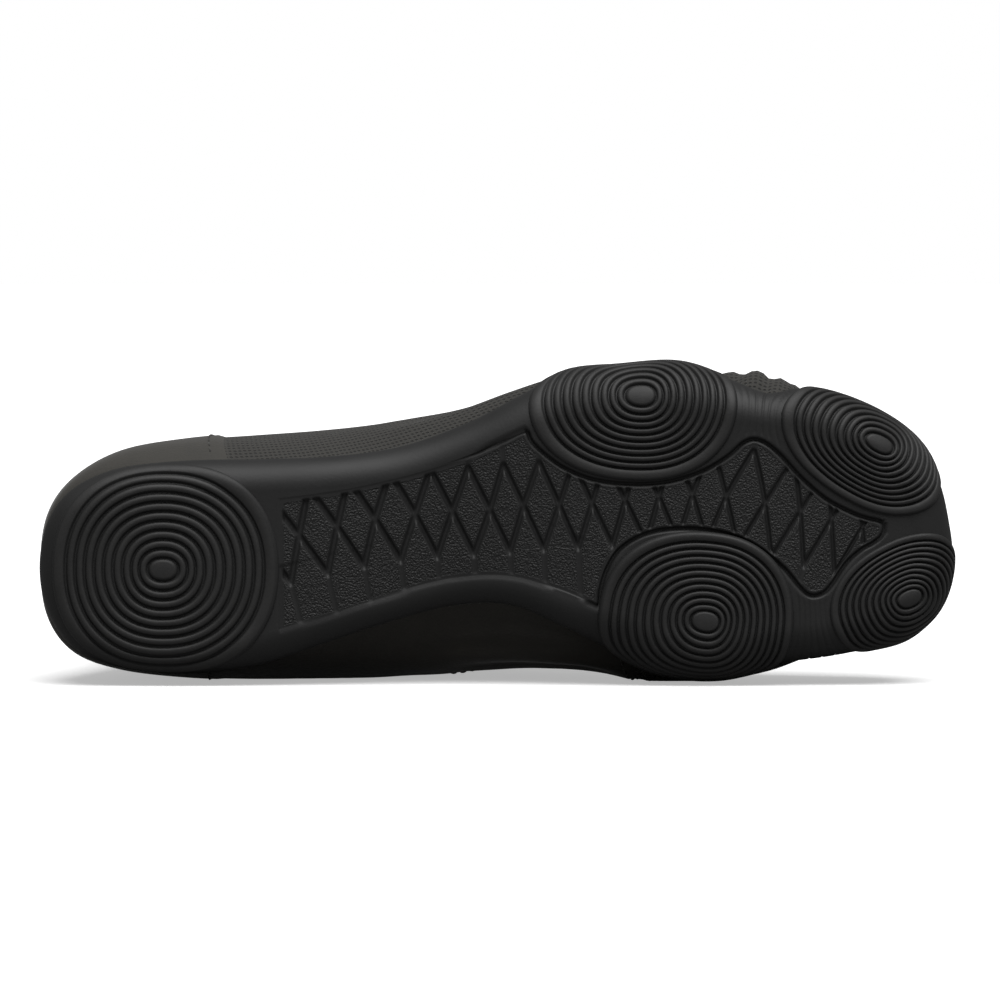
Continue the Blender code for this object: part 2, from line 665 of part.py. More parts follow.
make_outsole()
make_upper()
make_insole()
make_tongue()
make_eyestay()
for number, eyelet_row in enumerate(EYELET_ROWS, 1):
    make_eyelet(f"eyelet_lateral_{number}", eyelet_row, LATERAL)
    make_eyelet(f"eyelet_medial_{number}", eyelet_row, MEDIAL)
make_lace()
centre_shoe()
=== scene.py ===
"""Looks of a right wrestling shoe that lies on its medial side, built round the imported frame.

Places on the shoe are given as length from heel to toe, width from the heel's centre line to the
lateral side, and height from the tread's plane up the leg, all in metres. As the shoe lies, length
runs along +X, height along +Y and width along +Z.
"""

import logging
import math
from dataclasses import dataclass, field
from enum import Enum

import bmesh
import bpy
import numpy as np
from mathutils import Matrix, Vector

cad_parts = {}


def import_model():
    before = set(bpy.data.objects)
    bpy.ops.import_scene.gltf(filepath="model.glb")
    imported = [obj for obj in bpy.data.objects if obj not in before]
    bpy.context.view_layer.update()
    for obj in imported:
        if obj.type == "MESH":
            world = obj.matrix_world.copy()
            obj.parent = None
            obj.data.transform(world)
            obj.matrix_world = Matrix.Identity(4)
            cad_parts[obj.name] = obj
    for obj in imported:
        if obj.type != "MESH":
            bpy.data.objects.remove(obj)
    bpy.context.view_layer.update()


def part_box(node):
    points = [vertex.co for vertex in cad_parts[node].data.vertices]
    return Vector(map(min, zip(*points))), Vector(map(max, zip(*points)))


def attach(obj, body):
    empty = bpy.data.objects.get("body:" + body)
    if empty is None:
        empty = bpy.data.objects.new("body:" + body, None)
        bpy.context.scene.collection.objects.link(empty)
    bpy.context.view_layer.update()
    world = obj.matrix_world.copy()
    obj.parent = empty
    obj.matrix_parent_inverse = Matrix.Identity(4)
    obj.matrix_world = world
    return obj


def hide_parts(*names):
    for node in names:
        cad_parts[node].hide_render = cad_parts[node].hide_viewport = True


LOG = logging.getLogger("wrestling_shoe")
Array = np.ndarray
MM = 0.001
LAST_LENGTH = 280 * MM
BALL_WIDTH = 98 * MM


class Side(Enum):
    """The two sides of the shoe, with the sign of their widths."""

    LATERAL = 1
    MEDIAL = -1

    @property
    def other(self) -> "Side":
        """The opposite side."""
        return Side.MEDIAL if self is Side.LATERAL else Side.LATERAL


# The CAD's own curves, repeated here so that each piece lies on the frame: shares of the last's
# length, ball width and back height, and of the edge's rounding and rim.
SOLE_ROWS = (
    (0.0, -1.0, 0.0, -1.0, 64, 64, 65, 65),
    (0.9, 13.3, 0.9, -14.8, 64, 64, 65, 65),
    (3.6, 23.5, 3.6, -25.5, 64, 64, 63, 63),
    (8.6, 29.8, 8.6, -31.6, 64, 64, 62, 62),
    (16.1, 32.2, 16.1, -33.7, 64, 64, 56, 56),
    (24.3, 32.7, 23.6, -31.1, 64, 64, 48, 48),
    (32.1, 33.7, 30.7, -24.5, 61, 61, 40, 38),
    (39.3, 36.7, 37.5, -17.9, 61, 59, 37, 35),
    (46.4, 43.9, 45.0, -12.4, 64, 59, 40, 35),
    (52.1, 52.3, 51.1, -12.3, 75, 63, 56, 38),
    (57.1, 59.2, 56.8, -18.9, 93, 71, 77, 52),
    (62.9, 60.6, 62.1, -26.4, 100, 86, 96, 73),
    (69.3, 61.8, 67.5, -32.9, 100, 93, 98, 88),
    (74.3, 58.2, 73.6, -34.4, 89, 93, 69, 92),
    (78.9, 53.3, 80.0, -30.8, 64, 86, 42, 71),
    (82.9, 54.7, 85.7, -28.6, 79, 79, 60, 56),
    (87.5, 51.2, 90.4, -26.1, 93, 86, 77, 67),
    (92.4, 44.2, 93.9, -23.1, 93, 93, 81, 77),
    (95.9, 35.7, 96.4, -17.6, 93, 93, 77, 77),
    (97.9, 25.0, 97.9, -11.7, 86, 86, 65, 69),
    (98.9, 12.9, 98.9, -4.3, 86, 86, 58, 62),
    (99.3, 3.4, 99.3, 3.4, 86, 86, 58, 58),
)
UPPER_ROWS = (
    (0.2, 19.4, -1.0, -1.0, 5.2, 62.1, -1.5, -1.5, 4.5, 100.0, -3.5, 0.0),
    (0.9, 19.4, 14.8, -16.8, 5.5, 62.8, 8.2, -12.2, 5.0, 99.7, -3.5, 9.7),
    (3.6, 20.1, 26.0, -27.6, 7.1, 63.4, 17.4, -21.9, 7.5, 98.7, -3.5, 19.4),
    (8.6, 21.4, 34.2, -33.2, 11.1, 64.1, 26.0, -30.1, 12.5, 97.7, -3.8, 28.6),
    (15.7, 23.3, 37.8, -35.9, 17.9, 64.7, 31.1, -34.1, 20.7, 97.7, -3.6, 32.1),
    (22.9, 24.6, 39.3, -36.7, 25.0, 64.7, 32.7, -35.2, 29.3, 99.7, -3.9, 31.9),
    (30.0, 24.6, 40.8, -36.4, 32.9, 63.4, 32.7, -34.6, 37.5, 102.3, -4.0, 17.3),
    (37.1, 23.3, 43.2, -35.4, 40.7, 60.8, 32.2, -32.6, 44.3, 82.2, 0.1, 14.8),
    (44.6, 21.4, 46.9, -33.5, 47.9, 56.3, 33.2, -29.6, 50.4, 69.3, 3.6, 14.3),
    (51.1, 19.4, 52.6, -32.0, 53.2, 51.8, 34.2, -27.0, 55.0, 61.5, 6.1, 13.8),
    (56.4, 18.8, 57.1, -32.2, 58.2, 47.2, 37.2, -25.0, 59.3, 55.3, 8.2, 12.8),
    (62.1, 20.7, 58.7, -32.4, 63.2, 43.4, 40.8, -24.0, 63.6, 50.2, 9.2, 10.7),
    (68.2, 21.4, 58.2, -32.7, 68.6, 40.1, 43.4, -23.0, 67.9, 46.0, 10.2, 0.0),
    (73.6, 20.1, 57.1, -32.2, 73.6, 37.5, 44.4, -21.9, 72.1, 42.4, 10.7, 0.0),
    (79.3, 17.5, 56.7, -30.6, 78.6, 35.6, 44.4, -20.4, 76.6, 39.2, 10.7, 0.0),
    (84.3, 19.4, 52.0, -26.7, 83.2, 33.7, 42.3, -18.4, 80.7, 36.6, 10.2, 0.0),
    (88.6, 21.4, 48.0, -23.7, 87.1, 31.7, 38.8, -15.8, 84.3, 34.3, 9.2, 0.0),
    (92.5, 22.7, 41.3, -19.9, 91.1, 29.8, 33.2, -12.8, 87.5, 32.5, 8.2, 0.0),
    (95.4, 22.7, 33.2, -14.8, 93.6, 28.2, 26.5, -9.2, 89.6, 31.2, 7.3, 0.0),
    (97.3, 22.0, 23.5, -8.7, 95.2, 27.2, 18.4, -5.1, 91.1, 30.3, 6.7, 0.0),
    (98.3, 21.4, 12.8, -2.6, 96.1, 26.5, 10.2, 0.0, 91.8, 29.8, 6.3, 0.0),
    (98.8, 21.0, 3.3, 3.3, 96.4, 26.2, 3.9, 3.9, 92.1, 29.6, 6.1, 0.0),
)


# The lace holes' rows from the collar down, and their level on the upper.
EYELET_ROWS = (6.6, 7.5, 8.45, 9.35, 10.2, 11.0)
EYELET_LEVEL = 2.72
# The level where the throat's overlay ends, its gap to the upper and its thickness.
STAY_LEVEL = 2.35
GAP = 0.3 * MM
OVERLAY = 1.0 * MM


def closed_loop(rows: tuple, lateral: tuple, medial: tuple) -> Array:
    """Joins the lateral side's rows, heel to toe, to the medial side's, toe to heel.

    Args:
        rows: the table.
        lateral: the columns that the lateral side reads.
        medial: the columns that the medial side reads.

    Returns:
        One row a knot of the closed loop.
    """
    table = np.array(rows, float)
    return np.vstack([table[:, lateral], table[-2:0:-1, medial]])


def along_loop(values: Array, places: Array) -> Array:
    """Reads a closed loop at fractional places, on a smooth curve through its knots."""
    start = np.floor(places).astype(int)
    t = (places - start)[..., None]
    a, b, c, d = (values[(start + k) % len(values)] for k in (-1, 0, 1, 2))
    cubic = (3 * b - a - 3 * c + d) * t**3
    return 0.5 * (2 * b + (c - a) * t + (2 * a - 5 * b + 4 * c - d) * t**2 + cubic)


def unit(vectors: Array) -> Array:
    """Vectors of length 1."""
    return vectors / np.maximum(np.linalg.norm(vectors, axis=-1, keepdims=True), 1e-12)


def ease(x: Array) -> Array:
    """A soft step from 0 at 0 to 1 at 1."""
    t = np.clip(x, 0.0, 1.0)
    return t * t * (3 - 2 * t)


@dataclass(frozen=True)
class Edge:
    """Places on the sole's outline, one array a value."""

    length: Array
    width: Array
    out_length: Array
    out_width: Array
    rounding: Array
    rim: Array

    def take(self, index: Array) -> "Edge":
        """The places at some indices."""
        return Edge(*(getattr(self, name)[index] for name in self.__dataclass_fields__))

    def mix(self, other: "Edge", share: Array) -> "Edge":
        """Places between these and others, at a share of the way."""
        names = self.__dataclass_fields__
        return Edge(*(getattr(self, n) + (getattr(other, n) - getattr(self, n)) * share for n in names))

    def spread(self, count: int) -> "Edge":
        """The places repeated over a number of columns."""
        return Edge(*(getattr(self, n)[:, None] * np.ones(count) for n in self.__dataclass_fields__))

    @property
    def rim_reach(self) -> Array:
        """Length along the profile from where the underside starts to round up to its rim."""
        return self.rounding * math.pi / 2 + self.rim - self.rounding


@dataclass(frozen=True)
class Last:
    """The sizes of the last and the curves that the sole and the upper lie on."""

    length: float = LAST_LENGTH
    ball_width: float = BALL_WIDTH
    back_height: float = 0.1545
    edge_round: float = 0.014
    rim_height: float = 0.026
    toe_spring: float = 0.009
    arch_rise: float = 0.003
    heel_roll: float = 0.002
    pod_relief: float = 0.0024
    sole_wall: float = 0.0026
    upper_wall: float = 0.0022
    cup_gap: float = 0.0006
    feather_gap: float = 0.0022
    throat_end_row: int = 12
    collar_row: int = 6
    last_row: int = 21
    outline_steps: int = 24
    outsole_corner: tuple[float, float, float] = (0.0, 0.0, -0.03616)
    sole_loop: Array = field(init=False, repr=False)
    belly_loop: Array = field(init=False, repr=False)
    mid_loop: Array = field(init=False, repr=False)
    top_loop: Array = field(init=False, repr=False)
    outline: Edge = field(init=False, repr=False)
    shift: Array = field(init=False, repr=False)

    def __post_init__(self) -> None:
        """Scales the tables to the named sizes and finds where the frame lies."""
        per_cent = (self.length / 100, self.back_height / 100, self.ball_width / 100)
        sole_scale = (per_cent[0], per_cent[2], self.edge_round / 100, self.rim_height / 100)
        values = {
            "sole_loop": closed_loop(SOLE_ROWS, (0, 1, 4, 6), (2, 3, 5, 7)) * sole_scale,
            "belly_loop": closed_loop(UPPER_ROWS, (0, 1, 2), (0, 1, 3)) * per_cent,
            "mid_loop": closed_loop(UPPER_ROWS, (4, 5, 6), (4, 5, 7)) * per_cent,
            "top_loop": closed_loop(UPPER_ROWS, (8, 9, 10, 11), (8, 9, 10, 11)) * (*per_cent, per_cent[2]),
        }
        for name, value in values.items():
            object.__setattr__(self, name, value)
        places = np.arange(2 * self.last_row * self.outline_steps) / self.outline_steps
        object.__setattr__(self, "outline", self.stations(places, Side.LATERAL))
        object.__setattr__(self, "shift", np.zeros(3))
        object.__setattr__(self, "shift", self.find_shift())

    def find_shift(self) -> Array:
        """How far the row's frame lies from this one's zero, from the outsole's own low corner."""
        low = np.array(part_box("outsole")[0])
        return low - np.array(self.outsole_corner)

    def loop_place(self, row: Array, side: Side) -> Array:
        """Where a fractional row of one side lies on the closed loops."""
        place = np.asarray(row, float)
        return place if side is Side.LATERAL else 2 * self.last_row - place

    def stations(self, row: Array, side: Side) -> Edge:
        """The sole's outline at fractional rows of one side."""
        place = self.loop_place(row, side)
        length, width, rounding, rim = np.moveaxis(along_loop(self.sole_loop, place), -1, 0)
        step = 0.02
        run = along_loop(self.sole_loop, place + step) - along_loop(self.sole_loop, place - step)
        run = unit(run[..., :2])
        return Edge(length, width, -run[..., 1], run[..., 0], rounding, np.maximum(rim, rounding))

    def underside(self, length: Array, width: Array) -> Array:
        """Height of the tread's field, with toe spring, arch and the heel's roll."""
        share = length / self.length
        height = self.pod_relief + self.toe_spring * np.maximum(0.0, (share - 0.79) / 0.21) ** 2
        height = height + self.heel_roll * np.maximum(0.0, (0.08 - share) / 0.08) ** 2
        hollow = np.sin(np.pi * np.clip((share - 0.27) / 0.33, 0, 1)) ** 2
        return height + self.arch_rise * hollow * (1.0 - 0.5 * width / self.ball_width)

    def edge_points(self, at: Edge, reach: Array, lift: Array) -> Array:
        """Points on the sole's side, lifted out of its surface.

        Args:
            at: where on the outline.
            reach: length along the profile from where the underside starts to round up.
            lift: how far out of the surface.

        Returns:
            (length, width, height) of each point.
        """
        quarter = at.rounding * math.pi / 2
        turning = reach < quarter
        angle = np.where(turning, np.maximum(reach, 0.0) / at.rounding, math.pi / 2)
        out = np.where(turning, at.rounding * (np.sin(angle) - 1) + np.minimum(reach, 0.0), 0.0)
        height = np.where(turning, at.rounding * (1 - np.cos(angle)), at.rounding + reach - quarter)
        out = out + lift * np.sin(angle)
        height = height - lift * np.cos(angle)
        base = self.underside(
            at.length - at.out_length * at.rounding, at.width - at.out_width * at.rounding
        )
        return np.stack(
            [at.length + at.out_length * out, at.width + at.out_width * out, base + height], axis=-1
        )

    def nearest_edge(self, length: Array, width: Array) -> tuple[Edge, Array]:
        """The outline's place beside each flattened point, and the point's reach past its inner edge."""
        line = np.stack([self.outline.length, self.outline.width], axis=-1)
        points = np.stack([length, width], axis=-1).reshape(-1, 2)
        nearest = np.concatenate([
            np.argmin(((part[:, None, :] - line) ** 2).sum(axis=-1), axis=1)
            for part in np.array_split(points, max(1, len(points) // 4000))
        ]).reshape(np.shape(length))
        at = self.outline.take(nearest)
        along = (length - at.length) * at.out_width - (width - at.width) * at.out_length
        beside = self.outline.take((nearest + np.where(along > 0, 1, -1)) % len(line))
        spacing = np.hypot(beside.length - at.length, beside.width - at.width)
        at = at.mix(beside, np.clip(np.abs(along) / spacing, 0.0, 1.0))
        reach = (length - at.length) * at.out_length + (width - at.width) * at.out_width + at.rounding
        return at, reach

    def tread_points(self, length: Array, width: Array, lift: Array) -> Array:
        """Points of the flattened tread, wrapped round the sole's edge and lifted out of it."""
        at, reach = self.nearest_edge(length, width)
        flat = np.stack([length, width, self.underside(length, width) - lift], axis=-1)
        return np.where((reach > 0)[..., None], self.edge_points(at, reach, lift), flat)

    def upper_points(self, row: Array, side: Side, level: Array) -> Array:
        """Points on the upper's outer face.

        Args:
            row: fractional rows, any shape.
            side: the shoe's side.
            level: levels of the same shape: below 0 in the cup, 0 the rim, 1 the belly, 2 the
                middle, 3 the top.

        Returns:
            (length, width, height) of each point.
        """
        row, level = np.broadcast_arrays(np.asarray(row, float), np.asarray(level, float))
        at = self.stations(row, side)
        inset = -(self.sole_wall + self.cup_gap)
        reach = self.feather_gap + (at.rim_reach - self.feather_gap) * (1 + np.minimum(level, 0.0))
        cup = self.edge_points(at, reach, inset)
        low = self.edge_points(at, at.rim_reach, inset)
        place = self.loop_place(row, side)
        belly, middle = along_loop(self.belly_loop, place), along_loop(self.mid_loop, place)
        top = along_loop(self.top_loop, place)
        opposite = along_loop(self.mid_loop, self.loop_place(row, side.other))
        half = np.where(row < self.throat_end_row, np.maximum(top[..., 3], 0.0), 0.0)
        belly, middle, opposite = (p[..., [0, 2, 1]] for p in (belly, middle, opposite))
        top = np.stack([top[..., 0], top[..., 2] + side.value * half, top[..., 1]], axis=-1)
        openness = np.minimum(half / (0.1 * self.ball_width), 1.0)[..., None]
        over = (opposite - middle) * 0.5 * (1 - openness) + (top - middle) * openness
        rise = np.zeros_like(low)
        rise[..., 2] = 0.7 * np.linalg.norm(belly - low, axis=-1)
        knots = (low, belly, middle, top)
        runs = (rise, (middle - low) / 2, (top - belly) / 2, over)
        start = np.clip(level.astype(int), 0, 2)
        t = (level - start)[..., None]
        points = np.zeros_like(low)
        for k in range(3):
            curve = (
                knots[k] * (2 * t**3 - 3 * t**2 + 1)
                + runs[k] * (t**3 - 2 * t**2 + t)
                + knots[k + 1] * (3 * t**2 - 2 * t**3)
                + runs[k + 1] * (t**3 - t**2)
            )
            points = np.where((start == k)[..., None], curve, points)
        return np.where((level < 0)[..., None], cup, points)

    def side_normals(self, row: Array, side: Side, level: Array) -> Array:
        """The directions out of one side of the upper."""
        row, level = np.broadcast_arrays(np.asarray(row, float), np.asarray(level, float))
        step = 0.02
        up = self.upper_points(row, side, np.minimum(level + step, 3.0))
        up = up - self.upper_points(row, side, np.maximum(level - step, -1.0))
        ahead = self.upper_points(np.minimum(row + step, self.last_row), side, level)
        ahead = ahead - self.upper_points(np.maximum(row - step, 0.0), side, level)
        return unit(np.cross(up, ahead) * side.value)

    def upper_normals(self, row: Array, side: Side, level: Array) -> Array:
        """The directions out of the upper, the same from both sides where they meet."""
        row, level = np.broadcast_arrays(np.asarray(row, float), np.asarray(level, float))
        normal = self.side_normals(row, side, level)
        shared = (level == 3.0) & (row >= self.throat_end_row) | (row <= 0.0) | (row >= self.last_row)
        return unit(np.where(shared[..., None], normal + self.side_normals(row, side.other, level), normal))

    def lifted(self, row: Array, side: Side, level: Array, lift: Array) -> Array:
        """Points of the upper's outer face, moved along its normals."""
        lift = np.asarray(lift, float)[..., None]
        return self.upper_points(row, side, level) + self.upper_normals(row, side, level) * lift

    def lace_holes(self, side: Side) -> Array:
        """Centres of one side's lace holes on the upper's outer face, as they lie."""
        rows = np.array(EYELET_ROWS)
        return self.lying(self.upper_points(rows, side, np.full(len(rows), EYELET_LEVEL)))

    def inside_point(self) -> Array:
        """A point in the shoe's hollow, as it lies."""
        return self.lying(np.array([self.length / 3, 0.0, 0.3 * self.back_height]))

    def lying(self, points: Array) -> Array:
        """(length, width, height) points as they lie in the row's frame."""
        return points[..., [0, 2, 1]] + self.shift


def object_of(mesh: bmesh.types.BMesh, name: str) -> bpy.types.Object:
    """Turns a bmesh into a smooth-shaded object at the origin and frees it."""
    for face in mesh.faces:
        face.smooth = True
    data = bpy.data.meshes.new(name)
    mesh.to_mesh(data)
    mesh.free()
    obj = bpy.data.objects.new(name, data)
    bpy.context.scene.collection.objects.link(obj)
    return obj


def grid_mesh(
    points: Array,
    uv: Array | None = None,
    marks: dict[str, Array] | None = None,
    zones: Array | None = None,
) -> bmesh.types.BMesh:
    """A grid of faces bent through rows of points, with seams and poles merged.

    Args:
        points: places in the row's frame, rows by columns by 3.
        uv: pattern coordinates in metres, rows by columns by 2.
        marks: named values, rows by columns, kept as vertex attributes.
        zones: material index of each face, rows - 1 by columns - 1; faces below 0 are left out.

    Returns:
        The bmesh.
    """
    rows, columns = points.shape[:2]
    part = bmesh.new()
    bmesh.ops.create_grid(part, x_segments=columns - 1, y_segments=rows - 1, size=0.5)
    part.verts.ensure_lookup_table()
    # The floor flattens what rests on it.
    rested = np.concatenate([points[..., :2], np.maximum(points[..., 2:], 0.0)], axis=-1)
    for vert, point in zip(part.verts, rested.reshape(-1, 3)):
        vert.co = point
    for name, values in (marks or {}).items():
        layer = part.verts.layers.float.new(name)
        for vert, value in zip(part.verts, np.asarray(values, float).ravel()):
            vert[layer] = value
    if uv is not None:
        layer = part.loops.layers.uv.new("pattern")
        flat = uv.reshape(-1, 2)
        for face in part.faces:
            for loop in face.loops:
                loop[layer].uv = flat[loop.vert.index]
    if zones is not None:
        left_out = []
        for face in part.faces:
            low = min(vert.index for vert in face.verts)
            zone = int(zones[low // columns, low % columns])
            face.material_index = max(zone, 0)
            if zone < 0:
                left_out.append(face)
        bmesh.ops.delete(part, geom=left_out, context="FACES")
    bmesh.ops.remove_doubles(part, verts=part.verts, dist=1e-6)
    return part


def outward(mesh: bmesh.types.BMesh) -> bmesh.types.BMesh:
    """Merges doubles and turns every face of closed shells outwards."""
    bmesh.ops.remove_doubles(mesh, verts=mesh.verts, dist=1e-6)
    bmesh.ops.recalc_face_normals(mesh, faces=mesh.faces)
    return mesh


def away_from(mesh: bmesh.types.BMesh, inner: Array) -> bmesh.types.BMesh:
    """Merges doubles and turns an open sheet's faces away from a point inside it."""
    outward(mesh)
    centre = Vector(inner)
    votes = sum((f.calc_center_median() - centre).dot(f.normal) * f.calc_area() for f in mesh.faces)
    if votes < 0:
        bmesh.ops.reverse_faces(mesh, faces=mesh.faces)
    return mesh


def wall(obj: bpy.types.Object, thickness: float, outside: bool = False, edging: int = 0) -> None:
    """Gives a sheet its wall, inside or outside its drawn face.

    Args:
        obj: the sheet.
        thickness: the wall's thickness.
        outside: whether the wall grows outwards.
        edging: how many materials further on the cut edge's own material lies.
    """
    solid = obj.modifiers.new("wall", "SOLIDIFY")
    solid.thickness = thickness
    solid.offset = 1.0 if outside else -1.0
    solid.use_even_offset = False
    solid.use_rim = True
    solid.material_offset_rim = edging


def pierced(zones: Array, points: Array, centres: Array, radius: float) -> Array:
    """Marks the faces of a grid within a radius of any centre as left out."""
    middles = (points[1:, 1:] + points[:-1, :-1] + points[1:, :-1] + points[:-1, 1:]) / 4
    away = np.linalg.norm(middles[:, :, None, :] - centres, axis=-1).min(axis=-1)
    return np.where(away < radius, -1, zones)


def stacked(parts: Array) -> tuple[Array, Array]:
    """Joins many small grids into one, with the faces between them left out.

    Args:
        parts: grids of one size, parts by rows by columns by 3.

    Returns:
        The joined grid, and its zones.
    """
    count, rows, columns = parts.shape[:3]
    zones = np.zeros((count * rows - 1, columns - 1), int)
    zones[rows - 1 :: rows] = -1
    return parts.reshape(count * rows, columns, 3), zones


def grid_normals(points: Array) -> Array:
    """The directions across a grid of points, by its own rows and columns."""
    return unit(np.cross(np.gradient(points, axis=0), np.gradient(points, axis=1)))


def arc_length(points: Array) -> Array:
    """Length along a line of points at each of them."""
    return np.concatenate([[0.0], np.cumsum(np.linalg.norm(np.diff(points, axis=0), axis=-1))])


def arc_uv(points: Array) -> Array:
    """Pattern coordinates in metres along a grid's rows and columns."""
    along = np.linalg.norm(np.diff(points, axis=0), axis=-1).mean(axis=1)
    across = np.linalg.norm(np.diff(points, axis=1), axis=-1)
    u = np.concatenate([[0.0], np.cumsum(along)])[:, None] * np.ones(points.shape[1])
    v = np.concatenate([np.zeros((len(points), 1)), np.cumsum(across, axis=1)], axis=1)
    return np.stack([u, v], axis=-1)


def joined(parts: list[bmesh.types.BMesh]) -> bmesh.types.BMesh:
    """Joins bmeshes into one and frees them."""
    whole = bmesh.new()
    for part in parts:
        kept = bpy.data.meshes.new("part")
        part.to_mesh(kept)
        part.free()
        whole.from_mesh(kept)
        bpy.data.meshes.remove(kept)
    return whole


def finish_piece(
    obj: bpy.types.Object, materials: list[bpy.types.Material], replaced: tuple[str, ...] = ()
) -> None:
    """Gives a piece its materials, its body and the CAD nodes that it stands for."""
    for made in materials:
        obj.data.materials.append(made)
    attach(obj, "root")
    if replaced:
        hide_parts(*replaced)
    LOG.info("%s: %d faces", obj.name, len(obj.data.polygons))


def linear(colour: str) -> tuple[float, float, float, float]:
    """An sRGB hex colour as linear values with full alpha."""
    parts = [int(colour[k : k + 2], 16) / 255 for k in (1, 3, 5)]
    turned = [c / 12.92 if c <= 0.04045 else ((c + 0.055) / 1.055) ** 2.4 for c in parts]
    return (*turned, 1.0)


def set_inputs(node: bpy.types.Node, inputs: dict) -> None:
    """Sets a node's inputs, by name or place, to values, or links output sockets to them."""
    for key, value in inputs.items():
        if isinstance(value, bpy.types.NodeSocket):
            node.id_data.links.new(value, node.inputs[key])
        else:
            node.inputs[key].default_value = value


def add_node(
    tree: bpy.types.NodeTree, kind: str, inputs: dict | None = None, **settings: object
) -> bpy.types.Node:
    """Adds one node with its settings and links.

    Args:
        tree: the material's nodes.
        kind: the node's type, without its ShaderNode prefix.
        inputs: for each input, by name or place, a value or an output socket to link.
        settings: the node's own properties.

    Returns:
        The node.
    """
    node = tree.nodes.new("ShaderNode" + kind)
    for name, value in settings.items():
        setattr(node, name, value)
    set_inputs(node, inputs or {})
    return node


def new_material(name: str) -> tuple[bpy.types.Material, bpy.types.NodeTree, bpy.types.Node]:
    """A material with its node tree and its main shader."""
    made = bpy.data.materials.new(name)
    made.use_nodes = True
    return made, made.node_tree, made.node_tree.nodes["Principled BSDF"]


@dataclass(frozen=True)
class MouldedRubber:
    """Carbon-black rubber from a steel mould: matt, faintly grained, greyer where it was rubbed."""

    name: str = "moulded_rubber"
    dark: str = "#1e1e1e"
    pale: str = "#282828"
    scuff: str = "#434241"
    roughness: float = 0.56
    grain: float = 0.30 * MM
    grain_depth: float = 0.12 * MM
    cell_pitch: float = 0.52 * MM
    cell_depth: float = 0.5 * MM

    def make(self) -> bpy.types.Material:
        """Builds the material."""
        made, tree, shader = new_material(self.name)
        place = add_node(tree, "TexCoord").outputs["Object"]
        cloud = add_node(
            tree, "TexNoise", {"Vector": place, "Scale": 38.0, "Detail": 5.0, "Roughness": 0.62}
        )
        tone = add_node(
            tree, "Mix", {"Factor": cloud.outputs["Fac"], 6: linear(self.dark), 7: linear(self.pale)},
            data_type="RGBA",
        )
        worn = add_node(tree, "Attribute", attribute_name="worn")
        streak = add_node(
            tree, "TexNoise", {"Vector": place, "Scale": 260.0, "Detail": 3.0, "Roughness": 0.7}
        )
        rubbed = add_node(
            tree, "Math", {0: worn.outputs["Fac"], 1: streak.outputs["Fac"]}, operation="MULTIPLY"
        )
        colour = add_node(
            tree, "Mix", {"Factor": rubbed.outputs[0], 6: tone.outputs[2], 7: linear(self.scuff)},
            data_type="RGBA",
        )
        rough = add_node(
            tree, "MapRange",
            {
                "Value": cloud.outputs["Fac"],
                "To Min": self.roughness - 0.07, "To Max": self.roughness + 0.08,
            },
        )
        # The sparked mould's grain, which breaks up the sheen.
        fine = add_node(
            tree, "TexNoise", {"Vector": place, "Scale": 1 / (3 * self.grain), "Detail": 2.0}
        )
        # The pimpled texture of the field's cells, each pimple about half a millimetre.
        cell = add_node(tree, "Attribute", attribute_name="cell")
        pimple = add_node(
            tree, "TexVoronoi", {"Vector": place, "Scale": 1 / self.cell_pitch, "Randomness": 0.95},
            feature="SMOOTH_F1",
        )
        deep = add_node(
            tree, "Math", {0: pimple.outputs["Distance"], 1: cell.outputs["Fac"]}, operation="MULTIPLY"
        )
        grain = add_node(
            tree, "Bump", {"Strength": 0.35, "Distance": self.grain_depth, "Height": fine.outputs["Fac"]}
        )
        bump = add_node(
            tree, "Bump",
            {
                "Strength": 1.0, "Distance": self.cell_depth,
                "Height": deep.outputs[0], "Normal": grain.outputs[0],
            },
            invert=True,
        )
        set_inputs(shader, {
            "Base Color": colour.outputs[2], "Roughness": rough.outputs[0], "Normal": bump.outputs[0],
            "IOR": 1.5, "Specular IOR Level": 0.3,
        })
        return made


